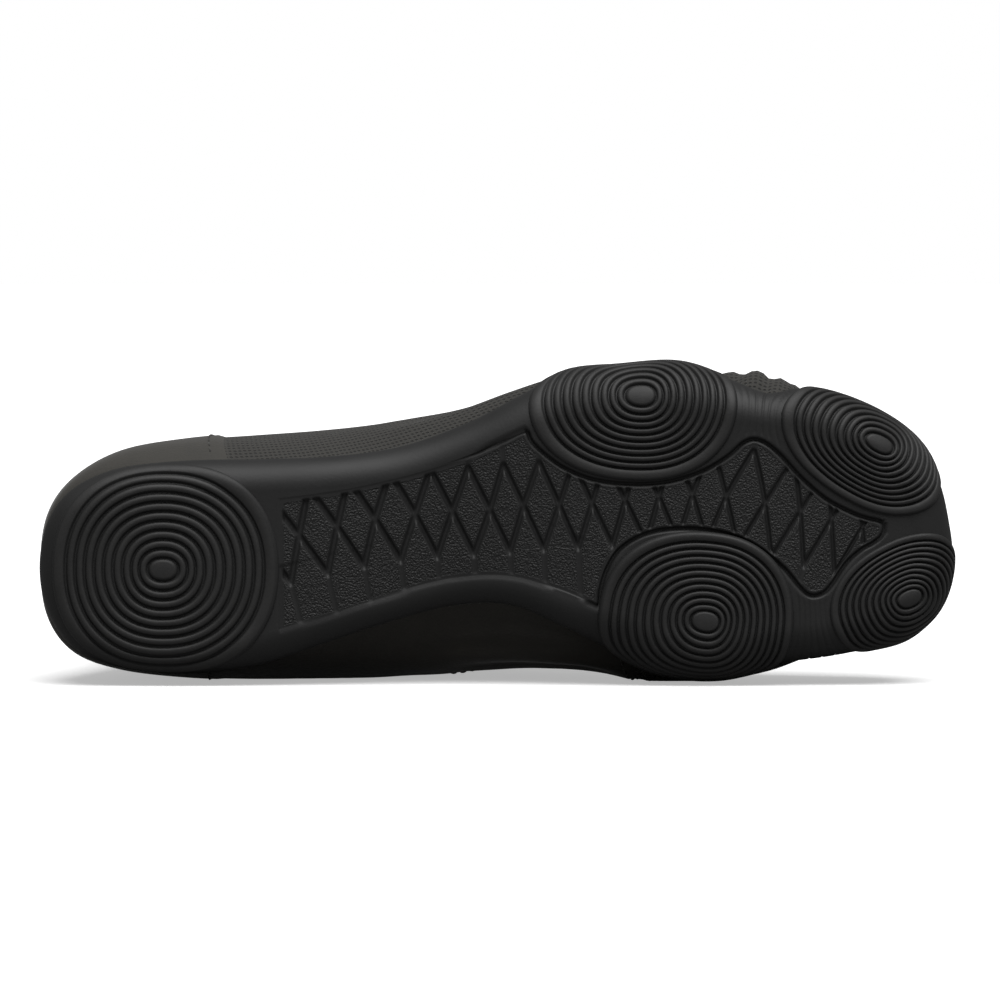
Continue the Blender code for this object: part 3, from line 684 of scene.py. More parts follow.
@dataclass(frozen=True)
class MeshCloth:
    """Open polyester knit over a dark lining: small round holes in rows, painted dark for the lining and
    the shade in them, dull thread between.
    """

    name: str = "polyester_mesh"
    thread: str = "#252320"
    fleck: str = "#31302c"
    # The holes' colour: partly the dark lining seen through them, partly painted shade inside them.
    hole: str = "#141311"
    pitch: float = 1.5 * MM
    depth: float = 0.45 * MM
    roughness: float = 0.82
    sheen: float = 0.12

    def make(self) -> bpy.types.Material:
        """Builds the material."""
        made, tree, shader = new_material(self.name)
        place = add_node(tree, "UVMap", uv_map="pattern").outputs[0]
        pitch = 1 / self.pitch
        holes = add_node(tree, "TexVoronoi", {"Vector": place, "Scale": pitch, "Randomness": 0.12})
        thread = add_node(tree, "TexNoise", {"Vector": place, "Scale": 6 * pitch, "Detail": 3.0})
        yarn_vs_hole_shade = add_node(
            tree, "MapRange",
            {"Value": holes.outputs["Distance"], "From Min": 0.20, "From Max": 0.40},
            interpolation_type="SMOOTHSTEP",
        )
        cloud = add_node(tree, "TexNoise", {"Vector": place, "Scale": 60.0, "Detail": 3.0})
        yarn = add_node(
            tree, "Mix", {"Factor": cloud.outputs["Fac"], 6: linear(self.thread), 7: linear(self.fleck)},
            data_type="RGBA",
        )
        # Paints the holes dark, for the lining behind them and painted shade in them; the thread lies
        # between.
        colour = add_node(
            tree, "Mix", {"Factor": yarn_vs_hole_shade.outputs[0], 6: linear(self.hole), 7: yarn.outputs[2]},
            data_type="RGBA",
        )
        high = add_node(tree, "Math", {0: thread.outputs["Fac"], 1: 0.25}, operation="MULTIPLY")
        height = add_node(tree, "Math", {0: yarn_vs_hole_shade.outputs[0], 1: high.outputs[0]}, operation="ADD")
        bump = add_node(
            tree, "Bump", {"Strength": 0.8, "Distance": self.depth, "Height": height.outputs[0]}
        )
        set_inputs(shader, {
            "Base Color": colour.outputs[2], "Normal": bump.outputs[0], "Roughness": self.roughness,
            "Sheen Weight": self.sheen, "Sheen Roughness": 0.5,
        })
        return made


@dataclass(frozen=True)
class BrushedSynthetic:
    """Microfibre suede, brushed one way: soft nap, faint pores, a little lighter on folds."""

    name: str = "microfibre_suede"
    dark: str = "#1f1e1a"
    pale: str = "#322f29"
    pore: float = 0.9 * MM
    depth: float = 0.22 * MM
    roughness: float = 0.78
    sheen: float = 0.35

    def make(self) -> bpy.types.Material:
        """Builds the material."""
        made, tree, shader = new_material(self.name)
        place = add_node(tree, "TexCoord").outputs["Object"]
        nap = add_node(
            tree, "TexNoise", {"Vector": place, "Scale": 70.0, "Detail": 6.0, "Roughness": 0.7}
        )
        pores = add_node(tree, "TexNoise", {"Vector": place, "Scale": 1 / self.pore, "Detail": 4.0})
        colour = add_node(
            tree, "Mix", {"Factor": nap.outputs["Fac"], 6: linear(self.dark), 7: linear(self.pale)},
            data_type="RGBA",
        )
        bump = add_node(
            tree, "Bump", {"Strength": 0.5, "Distance": self.depth, "Height": pores.outputs["Fac"]}
        )
        set_inputs(shader, {
            "Base Color": colour.outputs[2], "Normal": bump.outputs[0], "Roughness": self.roughness,
            "Sheen Weight": self.sheen, "Sheen Roughness": 0.45,
        })
        return made


@dataclass(frozen=True)
class WovenCloth:
    """Plain-woven or braided polyester: two sets of threads that pass over and under."""

    name: str
    dark: str
    pale: str
    pitch: float
    roughness: float = 0.8
    depth: float = 0.25 * MM
    turn: float = 0.0
    sheen: float = 0.2

    def make(self) -> bpy.types.Material:
        """Builds the material."""
        made, tree, shader = new_material(self.name)
        uv = add_node(tree, "UVMap", uv_map="pattern").outputs[0]
        place = add_node(tree, "Mapping", {"Vector": uv, "Rotation": (0.0, 0.0, self.turn)}).outputs[0]
        # Blender's wave repeats every 2 pi / 20 of its scaled length.
        scale = math.pi / (10 * self.pitch)
        warp, weft = (
            add_node(
                tree, "TexWave",
                {"Vector": place, "Scale": scale, "Distortion": 0.35, "Detail Scale": 4.0},
                bands_direction=way,
            )
            for way in ("X", "Y")
        )
        woven = add_node(
            tree, "Math", {0: warp.outputs["Fac"], 1: weft.outputs["Fac"]}, operation="MULTIPLY"
        )
        colour = add_node(
            tree, "Mix", {"Factor": woven.outputs[0], 6: linear(self.dark), 7: linear(self.pale)},
            data_type="RGBA",
        )
        bump = add_node(
            tree, "Bump", {"Strength": 0.7, "Distance": self.depth, "Height": woven.outputs[0]}
        )
        set_inputs(shader, {
            "Base Color": colour.outputs[2], "Normal": bump.outputs[0], "Roughness": self.roughness,
            "Sheen Weight": self.sheen,
        })
        return made


@dataclass(frozen=True)
class PaintedBrass:
    """Pressed brass under satin black paint, rubbed to bare metal in specks."""

    name: str = "painted_brass"
    paint: str = "#1b1b1c"
    bare: str = "#6f6547"
    depth: float = 0.05 * MM
    roughness: float = 0.34

    def make(self) -> bpy.types.Material:
        """Builds the material."""
        made, tree, shader = new_material(self.name)
        place = add_node(tree, "TexCoord").outputs["Object"]
        specks = add_node(tree, "TexNoise", {"Vector": place, "Scale": 900.0, "Detail": 4.0})
        rubbed = add_node(
            tree, "MapRange", {"Value": specks.outputs["Fac"], "From Min": 0.68, "From Max": 0.74}
        )
        colour = add_node(
            tree, "Mix", {"Factor": rubbed.outputs[0], 6: linear(self.paint), 7: linear(self.bare)},
            data_type="RGBA",
        )
        bump = add_node(
            tree, "Bump", {"Strength": 0.2, "Distance": self.depth, "Height": specks.outputs["Fac"]}
        )
        set_inputs(shader, {
            "Base Color": colour.outputs[2], "Metallic": rubbed.outputs[0], "Normal": bump.outputs[0],
            "Roughness": self.roughness, "Coat Weight": 0.25,
        })
        return made


POD_RADIUS = 35 * MM


@dataclass(frozen=True)
class Pod:
    """One raised round pod on the flattened tread.

    Its centre is in shares of the last's length and ball width, its turn in degrees, and its reach
    forward, back, to the lateral and to the medial side in shares of the pod radius. Grooves is how
    many rings are cut into it, first and last where the inmost and outmost lie.
    """

    name: str
    centre: tuple[float, float]
    turn: float
    reaches: tuple[float, float, float, float]
    grooves: int
    first: float
    last: float
    squareness: float = 2.2
    button_stretch: float = 0.55
    rim_relief: float = 0.85 * MM

    def reach(self, angle: Array) -> Array:
        """Reach of the outline at angles from the pod's own axis."""
        forward, back, lateral, medial = (reach * POD_RADIUS / 100 for reach in self.reaches)
        ahead, aside = np.cos(angle), np.sin(angle)
        power = self.squareness
        along = np.abs(ahead / np.where(ahead > 0, forward, back)) ** power
        across = np.abs(aside / np.where(aside > 0, lateral, medial)) ** power
        return (along + across) ** (-1 / power)

    def middle(self) -> tuple[float, float]:
        """The centre's length and width in metres."""
        return self.centre[0] * LAST_LENGTH / 100, self.centre[1] * BALL_WIDTH / 100

    def ring(self, share: Array, angle: Array) -> tuple[Array, Array]:
        """Length and width of points at shares of the reach, at angles from the pod's own axis."""
        spoke = share * self.reach(angle)
        stretch = 1 + self.button_stretch * (1 - np.minimum(share / 0.35, 1.0)) ** 2
        ahead, aside = spoke * np.cos(angle) * stretch, spoke * np.sin(angle)
        turn = math.radians(self.turn)
        length, width = self.middle()
        return (
            length + ahead * math.cos(turn) - aside * math.sin(turn),
            width + ahead * math.sin(turn) + aside * math.cos(turn),
        )

    def gap(self, length: Array, width: Array) -> Array:
        """Distance from flattened points to the outline, along the line to the centre."""
        middle = self.middle()
        ahead, aside = length - middle[0], width - middle[1]
        angle = np.arctan2(aside, ahead) - math.radians(self.turn)
        return np.hypot(ahead, aside) - self.reach(angle)


PODS = (
    Pod("lateral_ball", (65.3, 52.1), 0, (83, 99, 79, 72), 10, 0.12, 0.86),
    Pod("medial_ball", (72.3, -17.0), -8, (75, 94, 77, 79), 11, 0.12, 0.885, 2.2, 0.55, 1.8 * MM),
    Pod("lateral_toe", (91.0, 36.9), -28, (71, 91, 69, 54), 10, 0.115, 0.86, 2.2, 0.95),
    Pod("medial_toe", (94.2, -9.6), 26, (66, 71, 50, 63), 10, 0.125, 0.88, 2.2, 0.8),
    Pod("heel", (13.6, -1.0), 0, (100, 97, 95, 95), 10, 0.105, 0.87),
)

# The field's border on the lateral and the medial side, from the heel's end to the toe, as shares of
# the last's length and ball width.
FIELD_LATERAL = (
    (26.1, 20.9), (30.0, 22.3), (33.9, 24.0), (37.5, 26.2), (41.1, 28.7), (44.1, 31.3), (47.1, 34.2),
    (49.4, 37.2), (51.3, 40.0), (52.3, 41.3), (52.9, 41.4), (53.4, 38.4), (54.9, 34.3), (57.0, 30.2),
    (60.0, 26.8), (63.8, 25.4), (67.7, 25.9), (71.6, 29.0), (74.5, 33.7), (76.2, 37.9), (77.4, 39.1),
    (78.7, 37.9), (80.3, 34.1), (82.5, 27.3), (85.2, 20.7), (88.1, 16.3), (89.8, 14.6), (90.9, 13.9),
    (91.4, 13.0), (91.55, 11.9),
)
FIELD_MEDIAL = (
    (26.1, -20.4), (32.9, -14.8), (38.6, -9.4), (43.5, -4.9), (46.4, -3.8), (49.8, -3.2), (52.9, -4.6),
    (56.6, -7.7), (59.3, -10.8), (60.6, -12.2), (60.8, -8.2), (61.5, -1.2), (62.9, 5.1), (65.3, 9.5),
    (68.2, 11.4), (71.6, 11.4), (75.0, 9.5), (77.9, 5.6), (80.6, -0.6), (82.5, -6.9), (83.6, -9.1),
    (84.9, -8.4), (85.9, -5.5), (87.4, 0.8), (89.0, 4.9), (90.3, 7.0), (91.1, 8.7), (91.45, 10.3),
    (91.55, 11.9),
)

# Where the lattice's lines cross on its middle line, from the heel to the toe: length and width in
# millimetres, and half the height of the diamonds there.
CROSSINGS = (
    (56.0, 3.0, 13.3), (67.6, 6.2, 13.3), (79.2, 9.2, 13.3), (90.7, 11.8, 13.3), (102.2, 14.0, 13.3),
    (114.3, 15.4, 13.3), (125.5, 16.3, 13.3), (136.9, 16.8, 13.3), (147.1, 18.0, 13.3), (157.9, 18.3, 13.2),
    (167.8, 18.9, 13.2), (177.8, 19.8, 13.4), (188.0, 20.8, 13.8), (198.1, 21.4, 14.4), (208.3, 20.9, 15.2),
    (220.1, 18.8, 15.6), (230.8, 16.2, 15.6), (240.2, 13.9, 15.6), (249.6, 11.6, 15.6), (259.0, 9.3, 15.6),
)


def smooth_line(points: tuple | Array, scale: tuple | float = 1.0, steps: int = 12) -> Array:
    """An open smooth line through points, as an array of many points."""
    knots = np.array(points, float) * scale
    knots = np.vstack([2 * knots[0] - knots[1], knots, 2 * knots[-1] - knots[-2]])
    places = 1 + np.linspace(0, len(knots) - 3, (len(knots) - 3) * steps + 1)
    places[-1] -= 1e-9
    return along_loop(knots, places)


@dataclass
class Tread:
    """The relief of the flattened underside: groove round the field, lattice and flex lines."""

    last: Last
    pods: dict[str, "Pod"]
    groove_half_width: float = 0.62 * MM
    groove_depth: float = 1.4 * MM
    groove_start: dict = field(default_factory=lambda: {Side.LATERAL: 122 * MM, Side.MEDIAL: 164 * MM})
    groove_fade: dict = field(default_factory=lambda: {Side.LATERAL: 26 * MM, Side.MEDIAL: 5 * MM})
    waist_step: float = 0.4 * MM
    step_reach: float = 12 * MM
    line_half_width: float = 0.78 * MM
    line_depth: float = 1.15 * MM
    border_gap: float = 1.3 * MM
    sunk: float = 0.12 * MM
    gap_depth: float = 0.22 * MM
    plate_height: float = 0.16 * MM
    slope_step: float = 10 * MM
    flex_count: int = 7
    flex_depth: float = 0.3 * MM
    flex_half_width: float = 0.42 * MM
    web_reach: float = 26 * MM
    lateral: Array = field(init=False, repr=False)
    medial: Array = field(init=False, repr=False)
    crossings: Array = field(init=False, repr=False)

    def __post_init__(self) -> None:
        """Draws the field's two borders and the lattice's middle line."""
        scale = (self.last.length / 100, self.last.ball_width / 100)
        self.lateral = smooth_line(FIELD_LATERAL, scale)
        self.medial = smooth_line(FIELD_MEDIAL, scale)
        self.crossings = np.array(CROSSINGS) * MM

    def border_width(self, length: Array, side: Side) -> Array:
        """Width at which a side's field border lies beside a length."""
        line = self.lateral if side is Side.LATERAL else self.medial
        order = np.argsort(line[:, 0])
        return np.interp(length, line[order, 0], line[order, 1])

    def inside(self, length: Array, width: Array) -> Array:
        """Signed distance into the field from its border, in metres."""
        border = np.vstack([self.lateral, self.medial[::-1], self.lateral[:1]])
        starts, ends = border[:-1], border[1:]
        runs = ends - starts
        squares = np.maximum((runs**2).sum(axis=-1), 1e-18)
        points = np.stack([length, width], axis=-1).reshape(-1, 2)
        nearest = []
        for part in np.array_split(points, max(1, len(points) // 3000)):
            offset = part[:, None, :] - starts
            share = np.clip((offset * runs).sum(axis=-1) / squares, 0, 1)
            nearest.append(np.sqrt(((offset - share[..., None] * runs) ** 2).sum(axis=-1).min(axis=1)))
        distance = np.concatenate(nearest).reshape(np.shape(length))
        low = self.border_width(length, Side.MEDIAL)
        high = self.border_width(length, Side.LATERAL)
        within = (length > border[:, 0].min()) & (length < border[:, 0].max())
        return np.where(within & (width > low) & (width < high), distance, -distance)

    def lattice(self, length: Array, width: Array) -> tuple[Array, Array, Array]:
        """Distance to the lattice's crossed lines, to the smooth gaps past them, and their half width."""
        along = np.arange(len(self.crossings), dtype=float)
        knots, heights = self.crossings[:, 0], self.crossings[:, 1]
        centre = length
        for _ in range(4):
            middle = np.interp(centre, knots, heights)
            ahead = np.interp(centre + self.slope_step, knots, heights)
            behind = np.interp(centre - self.slope_step, knots, heights)
            slope = (ahead - behind) / (2 * self.slope_step)
            centre = length + slope * (width - middle)
        aside = (width - middle) * np.sqrt(1 + slope**2)
        half = np.interp(centre, knots, self.crossings[:, 2])
        number = np.interp(centre, knots, along)
        pitch = np.interp(centre, (knots[1:] + knots[:-1]) / 2, np.diff(knots))
        gradient = np.sqrt(1 / pitch**2 + 1 / (4 * half**2))
        arms = (number - aside / (2 * half), number + aside / (2 * half))
        lines = np.minimum(*(np.abs(k - np.round(k)) / gradient for k in arms))
        past = np.maximum(np.abs(aside) - half, 0.0)
        apart = np.abs(number - 0.5 - np.round(number - 0.5)) * pitch
        gaps = np.where(past > 0, apart, 1.0)
        lines = np.where(past > 0, np.hypot(apart, past), lines)
        taper = np.interp(length, [110 * MM, 160 * MM, 250 * MM], [1.25, 1.05, 0.8])
        return lines, gaps, self.line_half_width * taper

    def relief(self, length: Array, width: Array) -> tuple[Array, Array]:
        """Lift of the underside at flattened points, and how much of each is a textured cell."""
        inside = self.inside(length, width)
        middle = (self.border_width(length, Side.MEDIAL) + self.border_width(length, Side.LATERAL)) / 2
        medial = width < middle
        # Along the waist the medial border is a plain step that catches the light.
        fades = {s: ease((length - self.groove_start[s]) / self.groove_fade[s]) for s in Side}
        fade = np.where(medial, fades[Side.MEDIAL], fades[Side.LATERAL])
        half = self.groove_half_width * (0.5 + 0.5 * fade)
        groove = np.exp(-((inside / half) ** 4)) * self.groove_depth * fade
        lines, gaps, line = self.lattice(length, width)
        cut = ease((inside - self.border_gap * 0.7) / (0.6 * MM))
        crossed = (1 - ease((lines - 0.3 * line) / line)) * self.line_depth * cut
        smooth = (1 - ease((gaps - 0.5 * MM) / (0.6 * MM))) * self.gap_depth * cut
        sunk = ease((inside + 0.1 * MM) / (0.45 * MM)) * self.sunk
        step = ease((inside + 0.05 * MM) / (0.3 * MM)) * np.exp(-np.maximum(inside, 0.0) / self.step_reach)
        sunk = sunk + self.waist_step * step * medial * (1 - fade)
        cell = ease((inside - self.border_gap) / (0.5 * MM)) * ease((lines - line) / (0.5 * MM))
        cell = cell * ease((gaps - 0.7 * MM) / (0.4 * MM))
        lowered = np.maximum(crossed, smooth) + sunk - cell * self.plate_height
        return -np.maximum(groove, lowered) - self.flex_lines(length, width, inside), cell

    def flex_lines(self, length: Array, width: Array, inside: Array) -> Array:
        """Depth of the shallow lines across the webs, which follow the outlines of the pods beside them."""
        depth = np.zeros_like(length)
        for back, front in (("lateral_ball", "lateral_toe"), ("medial_ball", "medial_toe")):
            behind = self.pods[back].gap(length, width)
            ahead = self.pods[front].gap(length, width)
            between = (behind > 0) & (ahead > 0) & (behind + ahead < self.web_reach)
            share = np.where(between, behind / np.maximum(behind + ahead, 1e-9), 0.0)
            number = share * self.flex_count
            spacing = (behind + ahead) / self.flex_count
            off = np.abs(number - np.round(number)) * spacing
            line = (1 - ease(off / self.flex_half_width)) * self.flex_depth
            line = line * ease((-inside - 1.2 * MM) / (1.5 * MM)) * between
            line = line * ease((number - 0.5) * 4) * ease((self.flex_count - 0.5 - number) * 4)
            depth = np.maximum(depth, line)
        return depth


@dataclass
class Outsole:
    """The rubber cup sole: a shell with the field's relief, and five raised pods."""

    last: Last
    tread: Tread
    rubber: bpy.types.Material
    ring_depth: float = 1.1 * MM
    pod_root: float = 1.6 * MM
    waist_bulge: float = 0.9 * MM
    wear: float = 0.3
    pod_segments: int = 160
    floor_columns: int = 104
    margin_columns: int = 14
    side_columns: int = 16
    heel_sections: int = 46
    toe_sections: int = 30
    search_steps: int = 4001
    bulge_start: float = 84 * MM
    bulge_end: float = 176 * MM
    fine_start: float = 60 * MM
    fine_end: float = 256 * MM
    fine_pitch: float = 0.36 * MM

    def inner_line(self, side: Side) -> tuple[Array, Array]:
        """Close rows along one side, and the length at which its inner edge lies at each."""
        rows = np.linspace(0, self.last.last_row, self.search_steps)
        at = self.last.stations(rows, side)
        return rows, np.maximum.accumulate(at.length - at.out_length * at.rounding)

    def inner_edges(self, lengths: Array) -> tuple[Edge, Edge]:
        """The outline's places on both sides whose inner edge lies at the given lengths."""
        found = []
        for side in Side:
            rows, inner = self.inner_line(side)
            inner = inner + np.arange(len(inner)) * 1e-12
            found.append(self.last.stations(np.interp(lengths, inner, rows), side))
        return found[0], found[1]

    def section_lengths(self) -> Array:
        """Lengths of the shell's sections: close in the field, closer still round heel and toe."""
        _, inner = self.inner_line(Side.LATERAL)
        start, end = inner[0], inner[-1]
        heel = start + (self.fine_start - start) * np.linspace(0, 1, self.heel_sections) ** 2
        middle = np.arange(self.fine_start, self.fine_end, self.fine_pitch)[1:]
        toe = end - (end - middle[-1]) * np.linspace(1, 0, self.toe_sections)[1:] ** 2
        return np.concatenate([heel, middle, toe])

    def margin(self, span: float, count: int, reach: float = 6 * MM) -> Array:
        """Offsets from the field's border over a span, close together beside it."""
        near = np.array([0.0, 0.3, 0.6, 0.95, 1.4]) * MM * min(span / reach, 1.0)
        return np.concatenate([near, np.linspace(near[-1], span, count - len(near) + 1)[1:]])

    def floor_widths(self, length: float, low: float, high: float) -> Array:
        """Widths of one section's floor columns, aligned to the field's borders."""
        field_low = np.clip(self.tread.border_width(length, Side.MEDIAL), low, high)
        field_high = np.clip(self.tread.border_width(length, Side.LATERAL), low, high)
        middle = (field_low + field_high) / 2
        half = max((field_high - field_low) / 2, min(3.5 * MM, (high - low) / 4))
        field_low, field_high = max(middle - half, low), min(middle + half, high)
        even = np.linspace(high, low, self.floor_columns)
        border = self.tread.lateral[:, 0]
        before, past = border[0] - length, length - border[-1]
        apart = max(ease(before / (12 * MM)), ease((past - 1 * MM) / (9 * MM)))
        outer = self.margin_columns
        inner = self.margin(field_high - field_low, outer, 12 * MM)[:5]
        ends = (field_high - inner[-1], field_low + inner[-1])
        span = np.linspace(*ends, self.floor_columns - 2 * outer - 6)
        across = np.concatenate([field_high - inner[1:4], span, field_low + inner[3:0:-1]])
        lateral = field_high + self.margin(high - field_high, outer)[::-1]
        medial = field_low - self.margin(field_low - low, outer)
        aligned = np.concatenate([lateral, across, medial])
        return aligned + (even - aligned) * apart

    def make_cup(self) -> bpy.types.Object:
        """The shell from rim to rim, with its inner face and rounded lip."""
        lengths = self.section_lengths()
        edges = self.inner_edges(lengths)
        walls = []
        for edge, side in zip(edges, Side):
            reach = edge.rim_reach[:, None] * np.linspace(1, 0, self.side_columns + 1)[:-1]
            at = edge.spread(self.side_columns)
            flat_length = at.length + at.out_length * (reach - at.rounding)
            flat_width = at.width + at.out_width * (reach - at.rounding)
            lift, _ = self.tread.relief(flat_length, flat_width)
            if side is Side.MEDIAL:
                lift = lift + self.bulge(flat_length, reach / at.rounding)
            walls.append(self.last.edge_points(at, reach, lift))
        highs, lows = (edge.width - edge.out_width * edge.rounding for edge in edges)
        widths = np.array([
            self.floor_widths(length, low, high) for length, low, high in zip(lengths, lows, highs)
        ])
        grid = lengths[:, None] * np.ones(widths.shape[1])
        lift, cell = self.tread.relief(grid, widths)
        floor = np.stack([grid, widths, self.last.underside(grid, widths) - lift], axis=-1)
        outer = np.concatenate([walls[0], floor, walls[1][:, ::-1]], axis=1)
        cells = np.zeros(outer.shape[:2])
        cells[:, self.side_columns : self.side_columns + widths.shape[1]] = cell
        inner = self.inner_face(edges, grid, widths)
        lips = [self.lip(edge) for edge in edges]
        section = np.concatenate([outer, lips[1], inner, lips[0][:, ::-1], outer[:, :1]], axis=1)
        marks = np.zeros(section.shape[:2])
        marks[:, : cells.shape[1]] = cells
        mesh = outward(grid_mesh(self.last.lying(section), marks={"cell": marks}))
        return object_of(mesh, "sole_cup")

    def bulge(self, length: Array, angle: Array) -> Array:
        """How far the medial waist's rounding stands out, which keeps its border flat."""
        ends = ease((length - self.bulge_start) / (22 * MM)) * ease((self.bulge_end - length) / (16 * MM))
        return self.waist_bulge * ends * np.sin(2 * np.clip(angle, 0, math.pi / 2))

    def inner_face(self, edges: tuple[Edge, Edge], grid: Array, widths: Array) -> Array:
        """The shell's inner face from the medial rim round to the lateral rim, in few columns."""
        sides = []
        for edge in edges:
            steps = np.linspace(1, 0, 5)[:-1]
            reach = edge.rim_reach[:, None] * steps
            sides.append(self.last.edge_points(edge.spread(len(steps)), reach, -self.last.sole_wall))
        picks = np.linspace(0, widths.shape[1] - 1, 7).astype(int)
        floor_length, floor_width = grid[:, picks], widths[:, picks]
        height = self.last.underside(floor_length, floor_width) + self.last.sole_wall
        floor = np.stack([floor_length, floor_width, height], axis=-1)
        return np.concatenate([sides[1], floor[:, ::-1], sides[0][:, ::-1]], axis=1)

    def lip(self, edge: Edge) -> Array:
        """The rounded lip from the outer to the inner face at one side's rim."""
        half = self.last.sole_wall / 2
        turns = np.linspace(0, math.pi, 6)[1:-1]
        points = []
        for turn in turns:
            reach = edge.rim_reach + half * 0.8 * math.sin(turn)
            points.append(self.last.edge_points(edge, reach, half * (math.cos(turn) - 1)))
        return np.stack(points, axis=1)

    def ring_profile(self, pod: Pod) -> tuple[Array, Array, Array]:
        """Shares of a pod's reach, and the lift and wear there, from its centre over its rim down."""
        across = np.array([0.0, 0.07, 0.13, 0.2, 0.29, 0.5, 0.71, 0.8, 0.87, 0.93])
        # Flat-topped ridges with steep sides, about a third of the pitch left to the groove.
        ridge = 1 - ease((np.abs(2 * across - 1) - 0.42) / 0.5)
        pitch = (pod.last - pod.first) / (pod.grooves - 1)
        shares = [0.0, pod.first - 0.45 * pitch, pod.first - 0.25 * pitch, pod.first - 0.12 * pitch]
        cuts = [0.0, 0.0, 0.12, 0.55]
        for k in range(pod.grooves - 1):
            shares.extend(pod.first + (k + across) * pitch)
            cuts.extend(1 - ridge)
        shares.extend(pod.last + np.array([0.0, 0.07, 0.13, 0.2, 0.29]) * pitch)
        cuts.extend((1 - ridge)[:5])
        shares.append(0.96)
        cuts.append(0.0)
        shares, cuts = np.array(shares), np.array(cuts)
        relief = self.last.pod_relief
        dome = relief - (relief - pod.rim_relief) * shares**2
        heights = dome - self.ring_depth * cuts
        turn = np.linspace(0, 1, 7)[1:] * math.pi / 2
        start = shares[-1]
        rim_shares = start + (1 - start) * np.sin(turn)
        rim_heights = heights[-1] * np.cos(turn) ** 0.8 - 0.2 * MM * np.sin(turn)
        shares = np.concatenate([shares, rim_shares, [1.0, 0.9, 0.5, 0.0]])
        tops = np.concatenate([1 - cuts, np.zeros(len(shares) - len(cuts))])
        return shares, np.concatenate([heights, rim_heights, np.full(4, -self.pod_root)]), tops

    def make_pod(self, pod: Pod) -> bpy.types.Object:
        """One raised pod with its ridges, wrapped round the sole's edge."""
        angle = np.linspace(0, 2 * math.pi, self.pod_segments + 1)
        shares, heights, tops = self.ring_profile(pod)
        length, width = pod.ring(shares[:, None], angle[None, :])
        lift = heights[:, None] * np.ones_like(length)
        points = self.last.tread_points(length, width, lift)
        worn = self.wear * tops[:, None] * np.ones_like(length)
        mesh = outward(grid_mesh(self.last.lying(points), marks={"worn": worn}))
        return object_of(mesh, "tread_pod_" + pod.name)

    def build(self) -> None:
        """Builds and dresses the cup and its pods."""
        finish_piece(self.make_cup(), [self.rubber], ("outsole",))
        for pod in self.tread.pods.values():
            finish_piece(self.make_pod(pod), [self.rubber])


@dataclass(frozen=True)
class Crease:
    """A soft fold in the upper: a trough between two low ridges.

    It runs from a (row, level) place to another, bowed sideways. Where side is None it is on both.
    """

    side: Side | None
    start: tuple[float, float]
    end: tuple[float, float]
    width: float
    depth: float
    bow: float = 0.0

    def lift(self, side: Side, row: Array, level: Array) -> Array:
        """How far the fold moves the cloth in or out at places on one side."""
        if self.side is not None and self.side is not side:
            return np.zeros_like(row)
        scale = np.array([13.3 * MM, 31 * MM])
        start, end = np.array(self.start) * scale, np.array(self.end) * scale
        run = end - start
        reach = float(np.hypot(*run))
        ahead = run / reach
        x, y = row * scale[0] - start[0], level * scale[1] - start[1]
        along = (x * ahead[0] + y * ahead[1]) / reach
        off = y * ahead[0] - x * ahead[1] - self.bow * 4 * along * (1 - along)
        off = off / self.width
        ridges = 0.5 * (np.exp(-((off - 1.7) ** 2)) + np.exp(-((off + 1.7) ** 2)))
        taper = ease((along + 0.1) / 0.35) * ease((1.1 - along) / 0.35)
        return self.depth * taper * (ridges - np.exp(-(off**2)))


# Folds where the ankle and the toes bend, and those that the picture shows by the waist and web.
CREASES = (
    Crease(None, (8.2, 2.5), (6.2, 1.55), 3.4 * MM, 1.7 * MM, 3 * MM),
    Crease(None, (8.9, 2.45), (7.2, 1.25), 3.0 * MM, 1.5 * MM, 2 * MM),
    Crease(None, (9.8, 2.4), (8.5, 1.3), 2.6 * MM, 1.0 * MM, 2 * MM),
    Crease(None, (0.0, 2.45), (3.6, 2.25), 3.2 * MM, 1.3 * MM, -3 * MM),
    Crease(None, (0.0, 2.15), (2.8, 1.95), 2.8 * MM, 1.0 * MM, -2 * MM),
    Crease(None, (13.9, 3.0), (13.2, 1.5), 2.4 * MM, 1.1 * MM, -2 * MM),
    Crease(None, (14.9, 3.0), (14.2, 1.3), 2.8 * MM, 1.5 * MM, -2 * MM),
    Crease(None, (15.9, 3.0), (15.4, 1.7), 2.3 * MM, 0.9 * MM, -1 * MM),
    Crease(Side.MEDIAL, (7.6, 0.62), (10.4, 0.5), 2.2 * MM, 1.0 * MM, 2 * MM),
    Crease(Side.MEDIAL, (8.0, 0.95), (11.2, 0.85), 2.6 * MM, 0.9 * MM, 2 * MM),
    Crease(Side.LATERAL, (13.3, 0.3), (13.6, 1.2), 1.5 * MM, 0.9 * MM),
    Crease(Side.LATERAL, (13.9, 0.2), (14.1, 1.3), 1.6 * MM, 1.1 * MM),
    Crease(Side.LATERAL, (14.5, 0.2), (14.9, 1.2), 1.5 * MM, 0.9 * MM),
    Crease(Side.LATERAL, (7.0, 0.8), (9.6, 0.9), 2.6 * MM, 0.7 * MM, 2 * MM),
)


